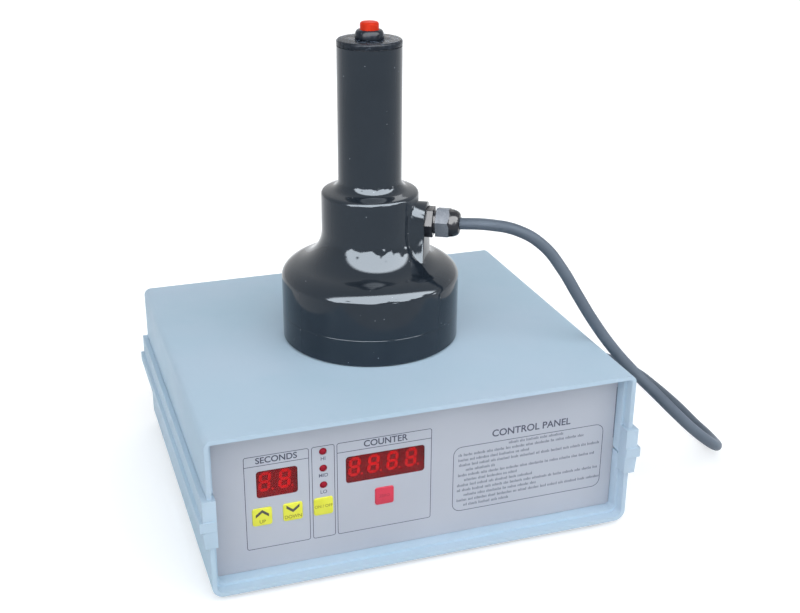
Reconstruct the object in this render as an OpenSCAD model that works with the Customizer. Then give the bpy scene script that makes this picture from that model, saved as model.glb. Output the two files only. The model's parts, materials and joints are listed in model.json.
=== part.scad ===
// Induction cap sealer: a generator case with a hand-held sealing head resting on its lid.
// Millimetres, +Z up, front towards -Y. The origin is on the table, under the middle of the case.

/* [Case] */
// Width across the case shells
case_w = 290; // [280:1:320]
// Length of the case shells from front to back
case_d = 254; // [248:1:300]
// Height from the underside of the case to its top
case_h = 112; // [108:1:140]
// Thickness of the case walls
wall = 3; // [2.5:0.1:3.6]
// Rounding of the long top edges
top_edge_r = 5; // [4:0.5:8]
// Rounding of the long bottom edges
bottom_edge_r = 7.5; // [5:0.5:10]
// Height of the joint between the shells above the underside
joint_h = 50.5; // [46:0.5:58]
// Diameter of the pillars that take the case screws
pillar_d = 9; // [8:0.5:12]
// Distance of the pillars from the side walls' outside
pillar_inset_x = 17; // [15:0.5:20]
// Distance of the pillars from the front and rear edges
pillar_inset_y = 52; // [48:0.5:58]
// Diameter of the case screws
case_screw_d = 4; // [3:0.5:5]
// Width of a cooling slot in the floor
slot_w = 3; // [2:0.2:3.6]
// Length of a cooling slot in the floor
slot_len = 34; // [20:1:38]
// Diameter of the rubber feet
foot_d = 18; // [12:1:22]
// Height of the rubber feet
foot_h = 4; // [3:0.5:10]
// Distance of the feet from the side walls' outside
foot_inset_x = 33; // [28:1:40]
// Distance of the feet from the front and rear edges
foot_inset_y = 29; // [24:1:32]

/* [Side strips] */
// Height of a strip above the shell joint
strip_up = 21.5; // [16:0.5:25]
// Depth of a strip below the shell joint
strip_down = 11.8; // [9:0.2:14]
// Thickness of a strip outside the wall
strip_t = 3.6; // [3:0.1:5]
// How far the grip lip stands out from the strip
lip_out = 2.4; // [1.5:0.1:4]
// Height of the grip lip
lip_h = 7.2; // [4:0.2:10]
// Thickness of the web between the two shells
web_t = 2; // [1.5:0.1:3]
// Length of the block at each end of a strip
block_len = 9.4; // [7:0.2:10]
// How far the end blocks stand out past the shells
block_out = 2.5; // [1:0.1:4]
// How far the end blocks reach in from the outside of the wall
block_in = 5; // [4.5:0.1:6]

/* [Plates and ribs] */
// Depth of the control panel's face behind the shells' front edge
panel_recess = 15; // [13:0.5:18]
// Thickness of the front and rear plates
plate_t = 2; // [1.5:0.1:3]
// Thickness of the overlay on the front plate
overlay_t = 0.5; // [0.3:0.1:0.8]
// Height of the ribs that hold the plates
rib_h = 2; // [1.5:0.1:2.5]
// Thickness of the rib behind each plate
rib_t = 2; // [1.5:0.1:3]

/* [Control panel] */
// Middle of the time display
time_x = -98; // [-100:0.5:-97]
// Width of the time window
time_w = 27; // [24:0.5:28]
// Middle of the count display
count_x = -26.1; // [-30:0.1:-22]
// Width of the count window
count_w = 53.9; // [48:0.1:56]
// Height of the windows' middle above the underside
window_z = 67.4; // [66:0.1:70]
// Height of the windows
window_h = 19.6; // [18:0.1:21]
// Lip round a window behind the plate
window_lip = 1.5; // [1:0.1:2]
// Height of a digit
digit_h = 13.4; // [11:0.1:14]
// Width of a digit
digit_w = 7.6; // [6:0.1:8]
// Width of a digit's segments
segment_w = 1.9; // [1.2:0.1:2.2]
// Pitch of the digits
digit_pitch = 12.8; // [12.4:0.1:13]
// Lean of the digits in degrees
digit_lean = 6; // [0:1:10]
// Column of the level lamps
led_x = -67.8; // [-70:0.1:-66]
// Height of the middle lamp above the underside
led_z = 71.8; // [71:0.1:73]
// Pitch of the lamps
led_pitch = 12.2; // [11:0.1:12.6]
// Diameter of a lamp
led_d = 5; // [3:0.5:6]
// Height of the keys' middle above the underside
key_z = 44.1; // [42:0.1:45]
// Width and height of a key
key_w = 12.7; // [11:0.1:13]
// Rounding of a key's corners
key_r = 1.8; // [1:0.1:3]
// How far a key stands out of the overlay
key_proud = 0.6; // [0.55:0.05:1]
// Travel of a key
key_travel = 0.5; // [0.3:0.05:0.5]
// Column of the increase key
increase_x = -108.4; // [-110:0.1:-107]
// Column of the reduce key
reduce_x = -88.4; // [-90:0.1:-87]
// Column of the power key
power_x = -68.2; // [-70:0.1:-67]
// Column of the reset key
reset_x = -26.9; // [-30:0.1:-22]
// Space between the front plate and the display board
board_gap = 9; // [8.5:0.1:12]
// Thickness of the circuit boards
board_t = 1.6; // [1.2:0.1:2]

/* [Rear panel] */
// Height of the rear fittings above the underside
rear_z = 56; // [50:0.5:60]
// Column of the fan
fan_x = -75; // [-85:1:-60]
// Width and height of the fan
fan_w = 60; // [56:1:64]
// Depth of the fan
fan_t = 20; // [18:1:25]
// Distance between the fan's screws
fan_screw_pitch = 50; // [48:0.5:50]
// Diameter of the fan's hub
fan_hub_d = 30; // [24:1:32]
// Column of the power inlet
inlet_x = 8; // [0:1:12]
// Width of the power inlet's body
inlet_w = 27; // [27:0.1:28]
// Height of the power inlet's body
inlet_h = 19.8; // [19.6:0.1:21]
// Depth of the power inlet's socket
socket_depth = 16; // [15:0.5:18]
// Column of the rocker switch
rocker_x = 48; // [44:1:56]
// Length of the rocker
rocker_len = 16; // [14:0.5:18]
// Width of the rocker
rocker_w = 10; // [8:0.5:11]
// Half of the rocker's swing in degrees
rocker_tilt = 8; // [5:1:10]
// Column of the cable gland
rear_gland_x = 90; // [86:1:100]

/* [Power stage] */
// Width of the power board
power_board_w = 204; // [202:1:210]
// Length of the power board from front to back
power_board_d = 120; // [118:1:124]
// Height of the posts under the power board
post_h = 8; // [5:0.5:12]
// Width of the heat sink
sink_w = 120; // [116:1:130]
// Height of the heat sink
sink_h = 42; // [36:1:50]
// Depth of the heat sink with its fins
sink_d = 32; // [24:1:34]
// Thickness of the heat sink's base
sink_base = 5; // [4:0.5:6]
// Thickness of a fin
fin_t = 1.8; // [1:0.1:2.5]
// Diameter of a storage capacitor
storage_d = 25; // [20:1:27]
// Height of a storage capacitor
storage_h = 40; // [30:1:50]
// Size of the transformer core along X and Z
core_w = 42; // [40:1:46]

/* [Sealing head] */
// Place of the head's axis to the right of the case's middle
head_x = -1.5; // [-5:0.5:5]
// Place of the head's axis behind the case's middle
head_y = -2; // [-6:0.5:4]
// Diameter of the head
head_d = 124; // [120:1:130]
// Height of the bottom cap
cap_h = 19.5; // [17:0.5:22]
// Height of the straight wall above the head's underside
shoulder_h = 44.5; // [42:0.5:47]
// Rise of the dome's curve, if it ran on to its top
dome_h = 13; // [11:0.5:15]
// Reach of the dome's curve inwards from the straight wall
dome_w = 27; // [25:0.5:30]
// Angle along the dome's curve where the collar's fillet begins
dome_end = 56; // [50:1:60]
// Diameter of the collar
collar_d = 67; // [66:0.5:70]
// Height of the collar's top above the head's underside
collar_top = 105.8; // [105:0.1:112]
// Rounding of the collar's top edge
collar_edge_r = 2.6; // [2:0.1:4]
// Slope of the collar's top towards the handle
collar_slope = 15; // [10:1:20]
// Fillet between the collar's top and the handle
neck_fillet = 7; // [5:0.5:8]
// Diameter of the handle
handle_d = 43.5; // [41:0.5:46]
// Height of the handle's seam above the head's underside
handle_top = 203.7; // [180:0.1:220]
// Thickness of the head's walls
head_wall = 3; // [2.5:0.1:3.5]
// Thickness of the handle's cap
handle_cap_t = 4.3; // [3.5:0.1:6]
// Number of turns in the flat coil
coil_turns = 7; // [5:1:8]
// Diameter of the coil's wire
coil_wire_d = 5; // [4:0.1:5]

/* [Push button] */
// Diameter of the button's rim
rim_d = 19.2; // [18:0.1:21]
// Height of the button's rim
rim_h = 6; // [5:0.1:8]
// Diameter of the button's threaded barrel
barrel_d = 16; // [15.5:0.1:17]
// Diameter of the push button
button_d = 12.4; // [11:0.1:12.6]
// How far the button stands out of its rim
button_proud = 5; // [4:0.1:7]
// Travel of the button
button_travel = 3; // [1:0.1:3.5]

/* [Cable and glands] */
// Diameter of the cable
cable_d = 8; // [6:0.1:8]
// Height of the head's gland above the head's underside
gland_z = 85.5; // [84:0.5:88]
// Angle of the head's gland towards the front, from the right
gland_angle = 30; // [15:1:45]
// Distance of the gland's seat from the head's axis
gland_seat = 39.8; // [38.5:0.1:41]
// Radius of the boss round the gland
gland_boss_r = 13.6; // [13:0.1:15]
// Diameter of the gland's inner thread
gland_thread_d = 15.2; // [15:0.1:16]
// Size of the gland's hexagons across their corners
gland_hex_d = 22.2; // [21:0.1:23]
// Thickness of the gland's flange
gland_flange_t = 5.2; // [4:0.1:6]
// Length of the gland's outer thread
gland_barrel_len = 10; // [9:0.1:12]
// Height of the hexagon of the gland's nut
gland_nut_h = 9.4; // [9.3:0.1:12]
// Height of the rounded end of the gland's nut
gland_dome_h = 6.6; // [5:0.1:8]

/* [Hidden] */
$fn = 64;

// Clearances: fixed pieces, seats, sliding fits and turning fits
fit_gap = 0.1;
seat_gap = 0.05;
slide_gap = 0.15;
pin_gap = 0.05;

// Colours as they look on the object
case_colour = [0.69, 0.79, 0.86];
panel_colour = [0.70, 0.69, 0.73];
head_colour = [0.12, 0.13, 0.16];
yellow_key = [0.92, 0.89, 0.22];
red_key = [0.88, 0.22, 0.34];
button_red = [0.90, 0.26, 0.18];
board_green = [0.10, 0.36, 0.22];
cable_grey = [0.36, 0.38, 0.41];

// Places in the case
front = -case_d / 2;
back = case_d / 2;
edge_min_r = 0.6;
lid_z = foot_h + case_h;
floor_z = foot_h + wall;
seam_z = foot_h + joint_h;
face_y = front + panel_recess;
plate_y = face_y + overlay_t;
rear_face_y = back - panel_recess - overlay_t;
ridge_recess = block_len - block_out + fit_gap;
groove_recess = panel_recess + overlay_t + plate_t + fit_gap;
pillar_x = case_w / 2 - pillar_inset_x;
pillar_y = case_d / 2 - pillar_inset_y;
foot_x = case_w / 2 - foot_inset_x;
foot_y = case_d / 2 - foot_inset_y;
foot_hollow = 0.6;
foot_edge = 1;
foot_rim_out = foot_d / 2 - foot_edge;
foot_rim_in = foot_d / 2 - 5;

// Side strips: the shadow groove under the lip, the skirt below it and the keeper inside the wall
lip_rise = 0.3;
shadow_depth = 0.7;
shadow_h = 0.8;
skirt_out = 0.4;
skirt_in = 0.6;
keeper_t = 2;
keeper_h = 12;

// Case screws
case_screw_head_d = 2 * case_screw_d;
case_screw_head_h = 0.65 * case_screw_d;
case_screw_sink = 0.6;
case_screw_recess = case_screw_head_h + case_screw_sink;
case_screw_end = 12;

// Cooling slots in the floor, between the display board and the power board
slot_pitch = 10;
slot_count = 13;
slot_flat = 0.05;
slot_y = front + 48;

// Display board and what stands on it, as depths behind the panel's face
plate_back = overlay_t + plate_t;
board_front = plate_back + board_gap;
window_behind = 1;
window_back = plate_back + window_behind;
display_gap = 0.5;
display_face = window_back + display_gap;
segment_t = 0.3;
segment_gap = 0.25;
point_d = 1.4;
point_off = 1.6;
key_flange = 1;
key_flange_t = 1.2;
tact_h = 5;
tact_body_h = 3.5;
tact_body_w = 6;
tact_plunger_d = 3.5;
key_play = 0.1;
key_stem_end = board_front - tact_h - key_travel - key_play;
key_stem_d = 5;
led_tip = 0.8;
led_len = 8.6;
led_foot = 0.2 * led_d;
led_leg_w = 0.6;
led_leg_pitch = 2.54;
board_margin = 14;
board_margin_right = 12;
board_margin_low = 18;
board_left = increase_x - board_margin;
board_right = count_x + count_w / 2 + board_margin_right;
board_low = key_z - board_margin_low;
board_high = window_z + window_h / 2 + board_margin;
board_hole_inset = 5;
board_hole_x = [board_left + board_hole_inset, board_right - board_hole_inset];
board_hole_z = [board_low + board_hole_inset, board_high - board_hole_inset];
small_screw_d = 3;
small_head_d = 5.5;
small_head_h = 2;
board_boss_d = 6.5;
small_screw_bite = 6;

// Fan
fan_wall = 1.5;
fan_bore_d = fan_w - 2 * fan_wall;
fan_corner_r = 4;
fan_shaft_d = 3;
fan_plate_t = 2.5;
fan_plate_gap = 1;
fan_blades = 7;
fan_blade_t = 1.2;
fan_blade_tilt = 38;
fan_tip_gap = 1;
fan_front_gap = 1.5;
fan_hub_len = fan_t - fan_plate_t - fan_plate_gap - fan_front_gap;
fan_blade_in = 0.5;
fan_blade_root = 2;
fan_arm_w = 4;
fan_arm_root = 1;
guard_t = 1.2;
guard_ring_w = 1.8;
guard_ring_pitch = 5.4;
guard_eye_d = 7;

// Power inlet
inlet_flange = 2.4;
inlet_flange_t = 3;
inlet_base_t = 4;
socket_wall = 1.5;
socket_chamfer = 4.5;
pin_w = 2;
pin_h = 4;
pin_len = 12;
pin_tail = 7;
line_pin_x = 7;
line_pin_z = -2;
earth_pin_z = 2;

// Rocker switch
rocker_frame_wall = 1.6;
rocker_rim = 1.6;
rocker_rim_t = 2;
rocker_depth = 14;
rocker_axis = 0.6;
rocker_rise = 3;
rocker_dip = 1.4;
rocker_heel = [1, 0.4];
rocker_toe = [4.5, 2.5];
rocker_corner_r = 1.5;
rocker_end_gap = 0.9;
rocker_side_gap = 0.25;
rocker_pin_d = 2.4;
rocker_pin_len = 1;

// Power stage, placed from the middle of its board
power_board_y = -10;
board_top = floor_z + post_h + board_t;
post_d = 7;
post_inset = 6;
sink_x = 10;
sink_y = power_board_y + 22;
fin_pitch = 9.6;
transistor = [16, 5, 20];
transistor_lift = 8;
transistor_pitch = 20;
bridge = [30, 5, 20];
bridge_gap = 8;
lead_w = 1;
lead_pitch = 5;
storage_inset = 20;
storage_r = storage_d / 2;
storage_gap = 4;
storage_y = power_board_y - 22;
can_edge = 0.5;
can_groove = 0.8;
can_groove_z = 4.3;
storage_x = storage_inset - power_board_w / 2;
film = [26, 18, 30];
film_edge = 1.5;
film_first = 36;
film_pitch = 34;
film_x = [storage_x + film_first, storage_x + film_first + film_pitch];
film_y = power_board_y - 38;
choke_inset = [18, 20];
choke_x = power_board_w / 2 - choke_inset[0];
choke_y = power_board_y - power_board_d / 2 + choke_inset[1];
choke_r = 11;
choke_core_w = 6;
choke_core_h = 8;
choke_wire = 1.5;
choke_gap = 20;
choke_left = choke_x - choke_r - choke_core_w / 2 - choke_wire;
transformer_x = (film_x[1] + film[0] / 2 + choke_left) / 2;
transformer_y = power_board_y - 34;
core_d = 15;
core_leg = 6;
core_middle = 12;
core_gap = 0.4;
winding_dip = 0.8;
winding_cheek = 1.2;
winding_r = 3;
cheek_r = 2;
fuse_inset = 12;
fuse_x = power_board_w / 2 - fuse_inset;
fuse_y = power_board_y + power_board_d / 4;
fuse_d = 5;
fuse_len = 20;
fuse_cap = 5;
fuse_glass_d = fuse_d - 0.6;
fuse_lift = 3;

// Sealing head
head_r = head_d / 2;
collar_r = collar_d / 2;
handle_r = handle_d / 2;
// The dome ends where it is as steep as the collar's fillet, which then runs on to the collar's wall.
dome_tip = [head_r - dome_w * (1 - cos(dome_end)), shoulder_h + dome_h * sin(dome_end)];
dome_lean = atan2(dome_w * sin(dome_end), dome_h * cos(dome_end));
collar_fillet = (dome_tip[0] - collar_r) / (1 - cos(dome_lean));
collar_low = dome_tip[1] + collar_fillet * sin(dome_lean);
neck_run = (
    collar_r - collar_edge_r * (1 - sin(collar_slope)) - handle_r - neck_fillet * (1 - sin(collar_slope))
) / cos(collar_slope);
neck_z = collar_top - collar_edge_r * (1 - cos(collar_slope)) + neck_run * sin(collar_slope)
    + neck_fillet * cos(collar_slope);
cap_floor = 3;
cap_edge = 1.2;
spigot_h = 3;
spigot_t = 2;
head_post_d = 8.4;
head_post_gap = 0.8;
head_post_at = head_r - head_wall - fit_gap - spigot_t - head_post_d / 2 - head_post_gap;
head_post_web = 4;
head_post_count = 4;
head_post_turn = 15;
head_screw_d = 3;
head_screw_head_d = 6;
head_screw_recess = 0.6;
head_screw_head_h = 1.7;
head_screw_bite = 10;
head_post_blind = 4;
head_post_h = head_screw_bite + head_post_blind;
coil_gap = 0.6;
coil_space = 0.05;
coil_pitch = coil_wire_d + coil_space;
former_r = head_post_at - head_post_d / 2 - coil_gap;
coil_inner_r = former_r - coil_turns * coil_pitch;
former_t = 2;
former_post_d = 10;
bar = [26, 9, 4];
bar_count = 6;
bar_in = (coil_inner_r + former_r - bar[0]) / 2;
cap_spigot_h = 8;
cap_spigot_t = 3;
cap_groove = 0.45;
cap_bevel = 0.9;

// Push button, as heights above the top of the handle's cap
rim_edge = [2.2, 4.4];
rim_lip = 4;
button_flange_h = 3;
button_flange_w = 0.7;
button_flange_r = button_d / 2 + button_flange_w;
barrel_bore_r = button_flange_r + slide_gap;
button_bevel = 1;
button_flange_top = rim_h - rim_lip - 2 * seat_gap;
button_bottom = button_flange_top - button_flange_h;
switch_plug_h = 5;
switch_tab = [1, 4, 7];
spring_wire_d = 0.8;
spring_turns = 5;
spring_r = 4.8;
spring_pressed_h = 8.9;
spring_low = button_bottom - button_travel - spring_pressed_h;
barrel_len = switch_plug_h - spring_low;
button_nut_h = 3;
button_nut_d = 24;

// Glands, as distances out from their seat
gland_neck = 2;
gland_boss_depth = 5;
gland_nut_turn = 16;
gland_chamfer = 1.6;
gland_lip = 1.5;
gland_nut_start = gland_flange_t + gland_neck;
gland_nut_end = gland_nut_start + gland_nut_h;
gland_mouth = gland_nut_end + gland_dome_h;
gland_barrel_end = gland_flange_t + gland_barrel_len;
gland_barrel_d = 15.8;
gland_press = 1.7;
gland_shoulder = gland_barrel_end + gland_press;
gland_seal_d = 11.6;
gland_seal_depth = 6.5;
gland_seal_start = gland_barrel_end - gland_seal_depth;
gland_seal_end = gland_shoulder - fit_gap;
gland_mouth_gap = 0.3;
gland_round_d = 19;
gland_shank = 10;
rear_shank = 10;
locknut_h = 4;

// The cable: out of the head, down beside the case, round in a bight on the table and back
// along the table to the rear panel.
cable_sides = 12;
cable_route = [
    [70, -43, 202], [89, -50, 198], [106, -55, 187], [119, -60, 170], [130, -64, 151], [142, -68, 131],
    [155, -73, 112], [170, -78, 94], [186, -84, 77], [202, -89, 60], [217, -92, 45], [232, -91, 32],
    [247, -81, 20], [258, -63, 11], [265, -41, 6], [268, -18, 4], [270, 5, 4], [271, 28, 4],
    [271, 51, 4], [270, 74, 4], [265, 97, 4], [256, 118, 4], [243, 138, 4], [227, 156, 4],
    [209, 171, 4], [189, 182, 4], [167, 190, 4], [145, 194, 8], [124, 192, 19], [107, 186, 34],
    [95, 174, 48], [90, 156, 58]
];

function head_gland_point(out) = [
    head_x + (gland_seat + out) * cos(gland_angle),
    head_y - (gland_seat + out) * sin(gland_angle),
    lid_z + gland_z
];
function rear_gland_point(out) = [rear_gland_x, rear_face_y + out, foot_h + rear_z];

// Points of an arc of an ellipse, from one angle to another
function arc(middle, size, from, to, steps) = [
    for (i = [0 : steps]) let (a = from + (to - from) * i / steps)
        [middle[0] + size[0] * cos(a), middle[1] + size[1] * sin(a)]
];

// A round bar swept along a list of points, none of whose stretches is upright
function unit(v) = v / norm(v);
function heading(path, i) = unit(path[min(i + 1, len(path) - 1)] - path[max(i - 1, 0)]);
function ring(path, i, r, sides) = let (
    along = heading(path, i),
    side = unit(cross(along, [0, 0, 1])),
    up = cross(side, along)
) [for (k = [0 : sides - 1]) path[i] + r * (cos(360 * k / sides) * side + sin(360 * k / sides) * up)];

module sweep(path, r, sides) {
    last = len(path) - 1;
    points = [for (i = [0 : last]) each ring(path, i, r, sides)];
    walls = [
        for (i = [0 : last - 1], k = [0 : sides - 1])
            let (a = i * sides + k, b = i * sides + (k + 1) % sides)
                each [[a, b, b + sides], [a, b + sides, a + sides]]
    ];
    start_face = [for (k = [0 : sides - 1]) sides - 1 - k];
    end_face = [for (k = [0 : sides - 1]) last * sides + k];
    polyhedron(points, concat([start_face], walls, [end_face]), convexity = 8);
}

// Flat shapes and ways of placing them

module rounded(w, h, r) {
    square([w - 2 * r, h], center = true);
    square([w, h - 2 * r], center = true);
    for (sx = [-1, 1], sy = [-1, 1])
        translate([sx * (w / 2 - r), sy * (h / 2 - r)]) circle(r);
}

module slab(from, to) {
    translate([0, 0, from]) linear_extrude(to - from) children();
}

module rod(d, from, to) {
    translate([0, 0, from]) cylinder(d = d, h = to - from);
}

// A flat shape in X and Z, drawn out from one Y to another
module along_y(from, to) {
    translate([0, to, 0]) rotate([90, 0, 0]) linear_extrude(to - from) children();
}

module both_ends() {
    children();
    mirror([0, 1, 0]) children();
}

module four_corners(x, y) {
    for (sx = [-1, 1], sy = [-1, 1]) translate([sx * x, sy * y, 0]) children();
}

// Local +Z points out of the front panel, local X and Y as seen from the front
module at_front(x, z) {
    translate([x, face_y, foot_h + z]) rotate([90, 0, 0]) children();
}

// Local +Z points out of the rear panel, local X and Y as seen from behind
module at_rear(x, z) {
    translate([x, rear_face_y, foot_h + z]) rotate([90, 0, 180]) children();
}

module at_head() {
    translate([head_x, head_y, lid_z]) children();
}

// Local +Z points out along the head's gland
module at_head_gland() {
    translate([0, 0, gland_z]) rotate([0, 0, -gland_angle]) translate([gland_seat, 0, 0])
        rotate([0, 90, 0]) children();
}

// Case

module case_outline(inset) {
    half = case_w / 2 - inset;
    low_r = max(bottom_edge_r - inset, edge_min_r);
    top_r = max(top_edge_r - inset, edge_min_r);
    low = foot_h + inset;
    high = lid_z - inset;
    middle = (low + high) / 2;
    translate([-half + low_r, low]) square([2 * (half - low_r), middle - low]);
    translate([-half + top_r, middle]) square([2 * (half - top_r), high - middle]);
    translate([-half, low + low_r]) square([2 * half, high - top_r - low - low_r]);
    for (side = [-1, 1]) {
        translate([side * (half - low_r), low + low_r]) circle(low_r);
        translate([side * (half - top_r), high - top_r]) circle(top_r);
    }
}

module shell_ring(outer, inner) {
    difference() {
        case_outline(outer);
        case_outline(inner);
    }
}

module upper_part() {
    intersection() {
        children();
        translate([-case_w, seam_z + web_t / 2]) square([2 * case_w, case_h]);
    }
}

module lower_part() {
    intersection() {
        children();
        translate([-case_w, seam_z - web_t / 2 - case_h]) square([2 * case_w, case_h]);
    }
}

// The wall and its ribs at both ends, between which the plates slide in
module plate_ridge() {
    along_y(front + ridge_recess, plate_y - fit_gap) children();
}

module plate_back_rib() {
    along_y(front + groove_recess, front + groove_recess + rib_t) children();
}

// Room for the blocks at the ends of the side strips
module block_room() {
    for (side = [-1, 1])
        translate([side * (case_w / 2 - block_in), front - block_out, seam_z - strip_down - fit_gap])
            translate([side < 0 ? -2 * block_in : -fit_gap, 0, 0])
                cube([
                    2 * block_in + fit_gap, block_len + fit_gap / 2, strip_up + strip_down + 2 * fit_gap
                ]);
}

module case_pillars(from, to) {
    four_corners(pillar_x, pillar_y) rod(pillar_d, from, to);
}

module top_shell() color(case_colour) difference() {
    union() {
        along_y(front, back) upper_part() shell_ring(0, wall);
        both_ends() {
            plate_ridge() upper_part() shell_ring(wall / 2, wall + rib_h);
            plate_back_rib() upper_part() shell_ring(wall / 2, wall + rib_h);
        }
        case_pillars(seam_z, lid_z - wall / 2);
    }
    both_ends() block_room();
    four_corners(pillar_x, pillar_y)
        rod(case_screw_d + 2 * pin_gap, seam_z - 1, seam_z + case_screw_end + 1);
}

module bottom_shell() color(case_colour) difference() {
    union() {
        along_y(front, back) lower_part() shell_ring(0, wall);
        both_ends() {
            plate_ridge() lower_part() shell_ring(wall / 2, wall + rib_h);
            plate_back_rib() lower_part() shell_ring(wall / 2, wall + rib_h);
        }
        case_pillars(foot_h + wall / 2, seam_z);
        translate([0, power_board_y, 0])
            four_corners(power_board_w / 2 - post_inset, power_board_d / 2 - post_inset)
                rod(post_d, foot_h + wall / 2, floor_z + post_h);
    }
    both_ends() block_room();
    four_corners(pillar_x, pillar_y) {
        rod(case_screw_d + 2 * fit_gap, foot_h - 1, seam_z + 1);
        rod(case_screw_head_d + 2 * fit_gap, foot_h - 1, foot_h + case_screw_recess);
    }
    translate([0, power_board_y, 0])
        four_corners(power_board_w / 2 - post_inset, power_board_d / 2 - post_inset)
            rod(small_screw_d + 2 * pin_gap, floor_z + post_h - small_screw_bite, floor_z + post_h + 1);
    for (i = [0 : slot_count - 1])
        translate([(i - (slot_count - 1) / 2) * slot_pitch, slot_y, foot_h - 1])
            linear_extrude(wall + 2) rounded(slot_w, slot_len, slot_w / 2 - slot_flat);
}

// A full-length strip of one section that clips over the joint of the two shells
module strip_section() {
    wall_x = case_w / 2;
    inner_x = wall_x - wall - fit_gap;
    outer_x = wall_x + strip_t;
    lip_low = seam_z + lip_rise;
    polygon([
        [wall_x + fit_gap, seam_z + strip_up], [outer_x, seam_z + strip_up],
        [outer_x, lip_low + lip_h], [outer_x + lip_out, lip_low + lip_h], [outer_x + lip_out, lip_low],
        [outer_x - shadow_depth, lip_low], [outer_x - shadow_depth, lip_low - shadow_h],
        [outer_x + skirt_out, lip_low - shadow_h],
        [outer_x - skirt_in, seam_z - strip_down], [wall_x + fit_gap, seam_z - strip_down],
        [wall_x + fit_gap, seam_z - web_t / 2], [inner_x - keeper_t / 2, seam_z - web_t / 2],
        [inner_x - keeper_t / 2, seam_z + web_t / 2], [wall_x + fit_gap, seam_z + web_t / 2]
    ]);
}

module strip_keeper() {
    keeper_x = case_w / 2 - wall - fit_gap;
    translate([keeper_x - keeper_t, seam_z - keeper_h / 2]) square([keeper_t, keeper_h]);
}

module side_strip() {
    keeper_start = front + groove_recess + rib_t + 1;
    block_end = front - block_out + block_len;
    along_y(block_end - 1, 1 - block_end) intersection() {
        strip_section();
        translate([case_w / 2 - wall, 0]) square([case_w, 2 * lid_z]);
    }
    along_y(keeper_start, -keeper_start) {
        strip_section();
        strip_keeper();
    }
    both_ends() along_y(front - block_out, front - block_out + block_len) {
        strip_section();
        translate([case_w / 2 - block_in, seam_z - strip_down])
            square([block_in + strip_t / 2, strip_up + strip_down]);
    }
}

module right_side_strip() color(case_colour) side_strip();

module left_side_strip() color(case_colour) mirror([1, 0, 0]) side_strip();

// A pan-head screw standing upright: its shank runs up from the head
module screw_up(d, head_d, head_h, length) {
    rod(head_d, 0, head_h);
    rod(d, head_h / 2, head_h + length);
}

module case_screws() color("gray") four_corners(pillar_x, pillar_y)
    translate([0, 0, foot_h + case_screw_recess - case_screw_head_h])
        screw_up(case_screw_d, case_screw_head_d, case_screw_head_h,
            joint_h - case_screw_recess + case_screw_end);

module rubber_feet() color([0.10, 0.10, 0.10]) four_corners(foot_x, foot_y) rotate_extrude()
    polygon([
        [0, foot_hollow], [foot_rim_in, foot_hollow], [foot_rim_in, 0], [foot_rim_out - foot_edge, 0],
        [foot_rim_out, foot_edge], [foot_d / 2, foot_h], [0, foot_h]
    ]);

// Control panel

KEY_X = [increase_x, reduce_x, power_x, reset_x];

module panel_openings(gap) {
    translate([time_x, foot_h + window_z]) square([time_w + 2 * gap, window_h + 2 * gap], center = true);
    translate([count_x, foot_h + window_z]) square([count_w + 2 * gap, window_h + 2 * gap], center = true);
    for (i = [-1 : 1])
        translate([led_x, foot_h + led_z + i * led_pitch]) circle(d = led_d + 2 * gap);
    for (x = KEY_X)
        translate([x, foot_h + key_z]) rounded(key_w + 2 * slide_gap, key_w + 2 * slide_gap, key_r);
}

module panel_overlay() color(panel_colour) along_y(face_y, plate_y) difference() {
    case_outline(wall + rib_h + 2 * fit_gap);
    panel_openings(fit_gap);
}

module front_panel() color(panel_colour) {
    along_y(plate_y, plate_y + plate_t) difference() {
        case_outline(wall + fit_gap);
        panel_openings(fit_gap);
    }
    for (x = board_hole_x, z = board_hole_z) at_front(x, z) difference() {
        rod(board_boss_d, -board_front, -plate_back + plate_t / 2);
        rod(small_screw_d + 2 * pin_gap, -board_front - 1, small_screw_bite - board_front);
    }
}

module window_pane(w) {
    slab(-plate_back, 0) square([w, window_h], center = true);
    slab(-window_back, -plate_back) square([w + 2 * window_lip, window_h + 2 * window_lip], center = true);
}

module time_window() color([0.50, 0.06, 0.09, 0.6]) at_front(time_x, window_z) window_pane(time_w);

module count_window() color([0.50, 0.06, 0.09, 0.6]) at_front(count_x, window_z) window_pane(count_w);

module display_block(w) {
    slab(-board_front, -display_face) square([w, window_h], center = true);
}

module time_display() color([0.12, 0.05, 0.06]) at_front(time_x, window_z) display_block(time_w);

module count_display() color([0.12, 0.05, 0.06]) at_front(count_x, window_z) display_block(count_w);

// One bar of a digit between two points, with pointed ends and a lean to the right
function lean(p) = [p[0] + p[1] * tan(digit_lean), p[1]];

module segment(from, to) {
    along = unit(to - from);
    across = [-along[1], along[0]] * segment_w / 2;
    tip = segment_w / 2 + segment_gap;
    a = from + along * segment_gap;
    b = to - along * segment_gap;
    polygon([
        for (p = [
            a, from + along * tip + across, to - along * tip + across,
            b, to - along * tip - across, from + along * tip - across
        ]) lean(p)
    ]);
}

module digit() {
    x = (digit_w - segment_w) / 2;
    y = (digit_h - segment_w) / 2;
    for (level = [-y, 0, y]) segment([-x, level], [x, level]);
    for (side = [-x, x], half = [-y, 0]) segment([side, half], [side, half + y]);
    translate([lean([digit_w / 2 + point_off, -y])[0], -y]) circle(d = point_d);
}

module digits(count) {
    for (i = [0 : count - 1])
        translate([(i - (count - 1) / 2) * digit_pitch - point_off / 2, 0, 0])
            slab(-display_face, segment_t - display_face) digit();
}

module time_digits() color([0.86, 0.16, 0.12]) at_front(time_x, window_z) digits(2);

module count_digits() color([0.86, 0.16, 0.12]) at_front(count_x, window_z) digits(4);

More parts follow.
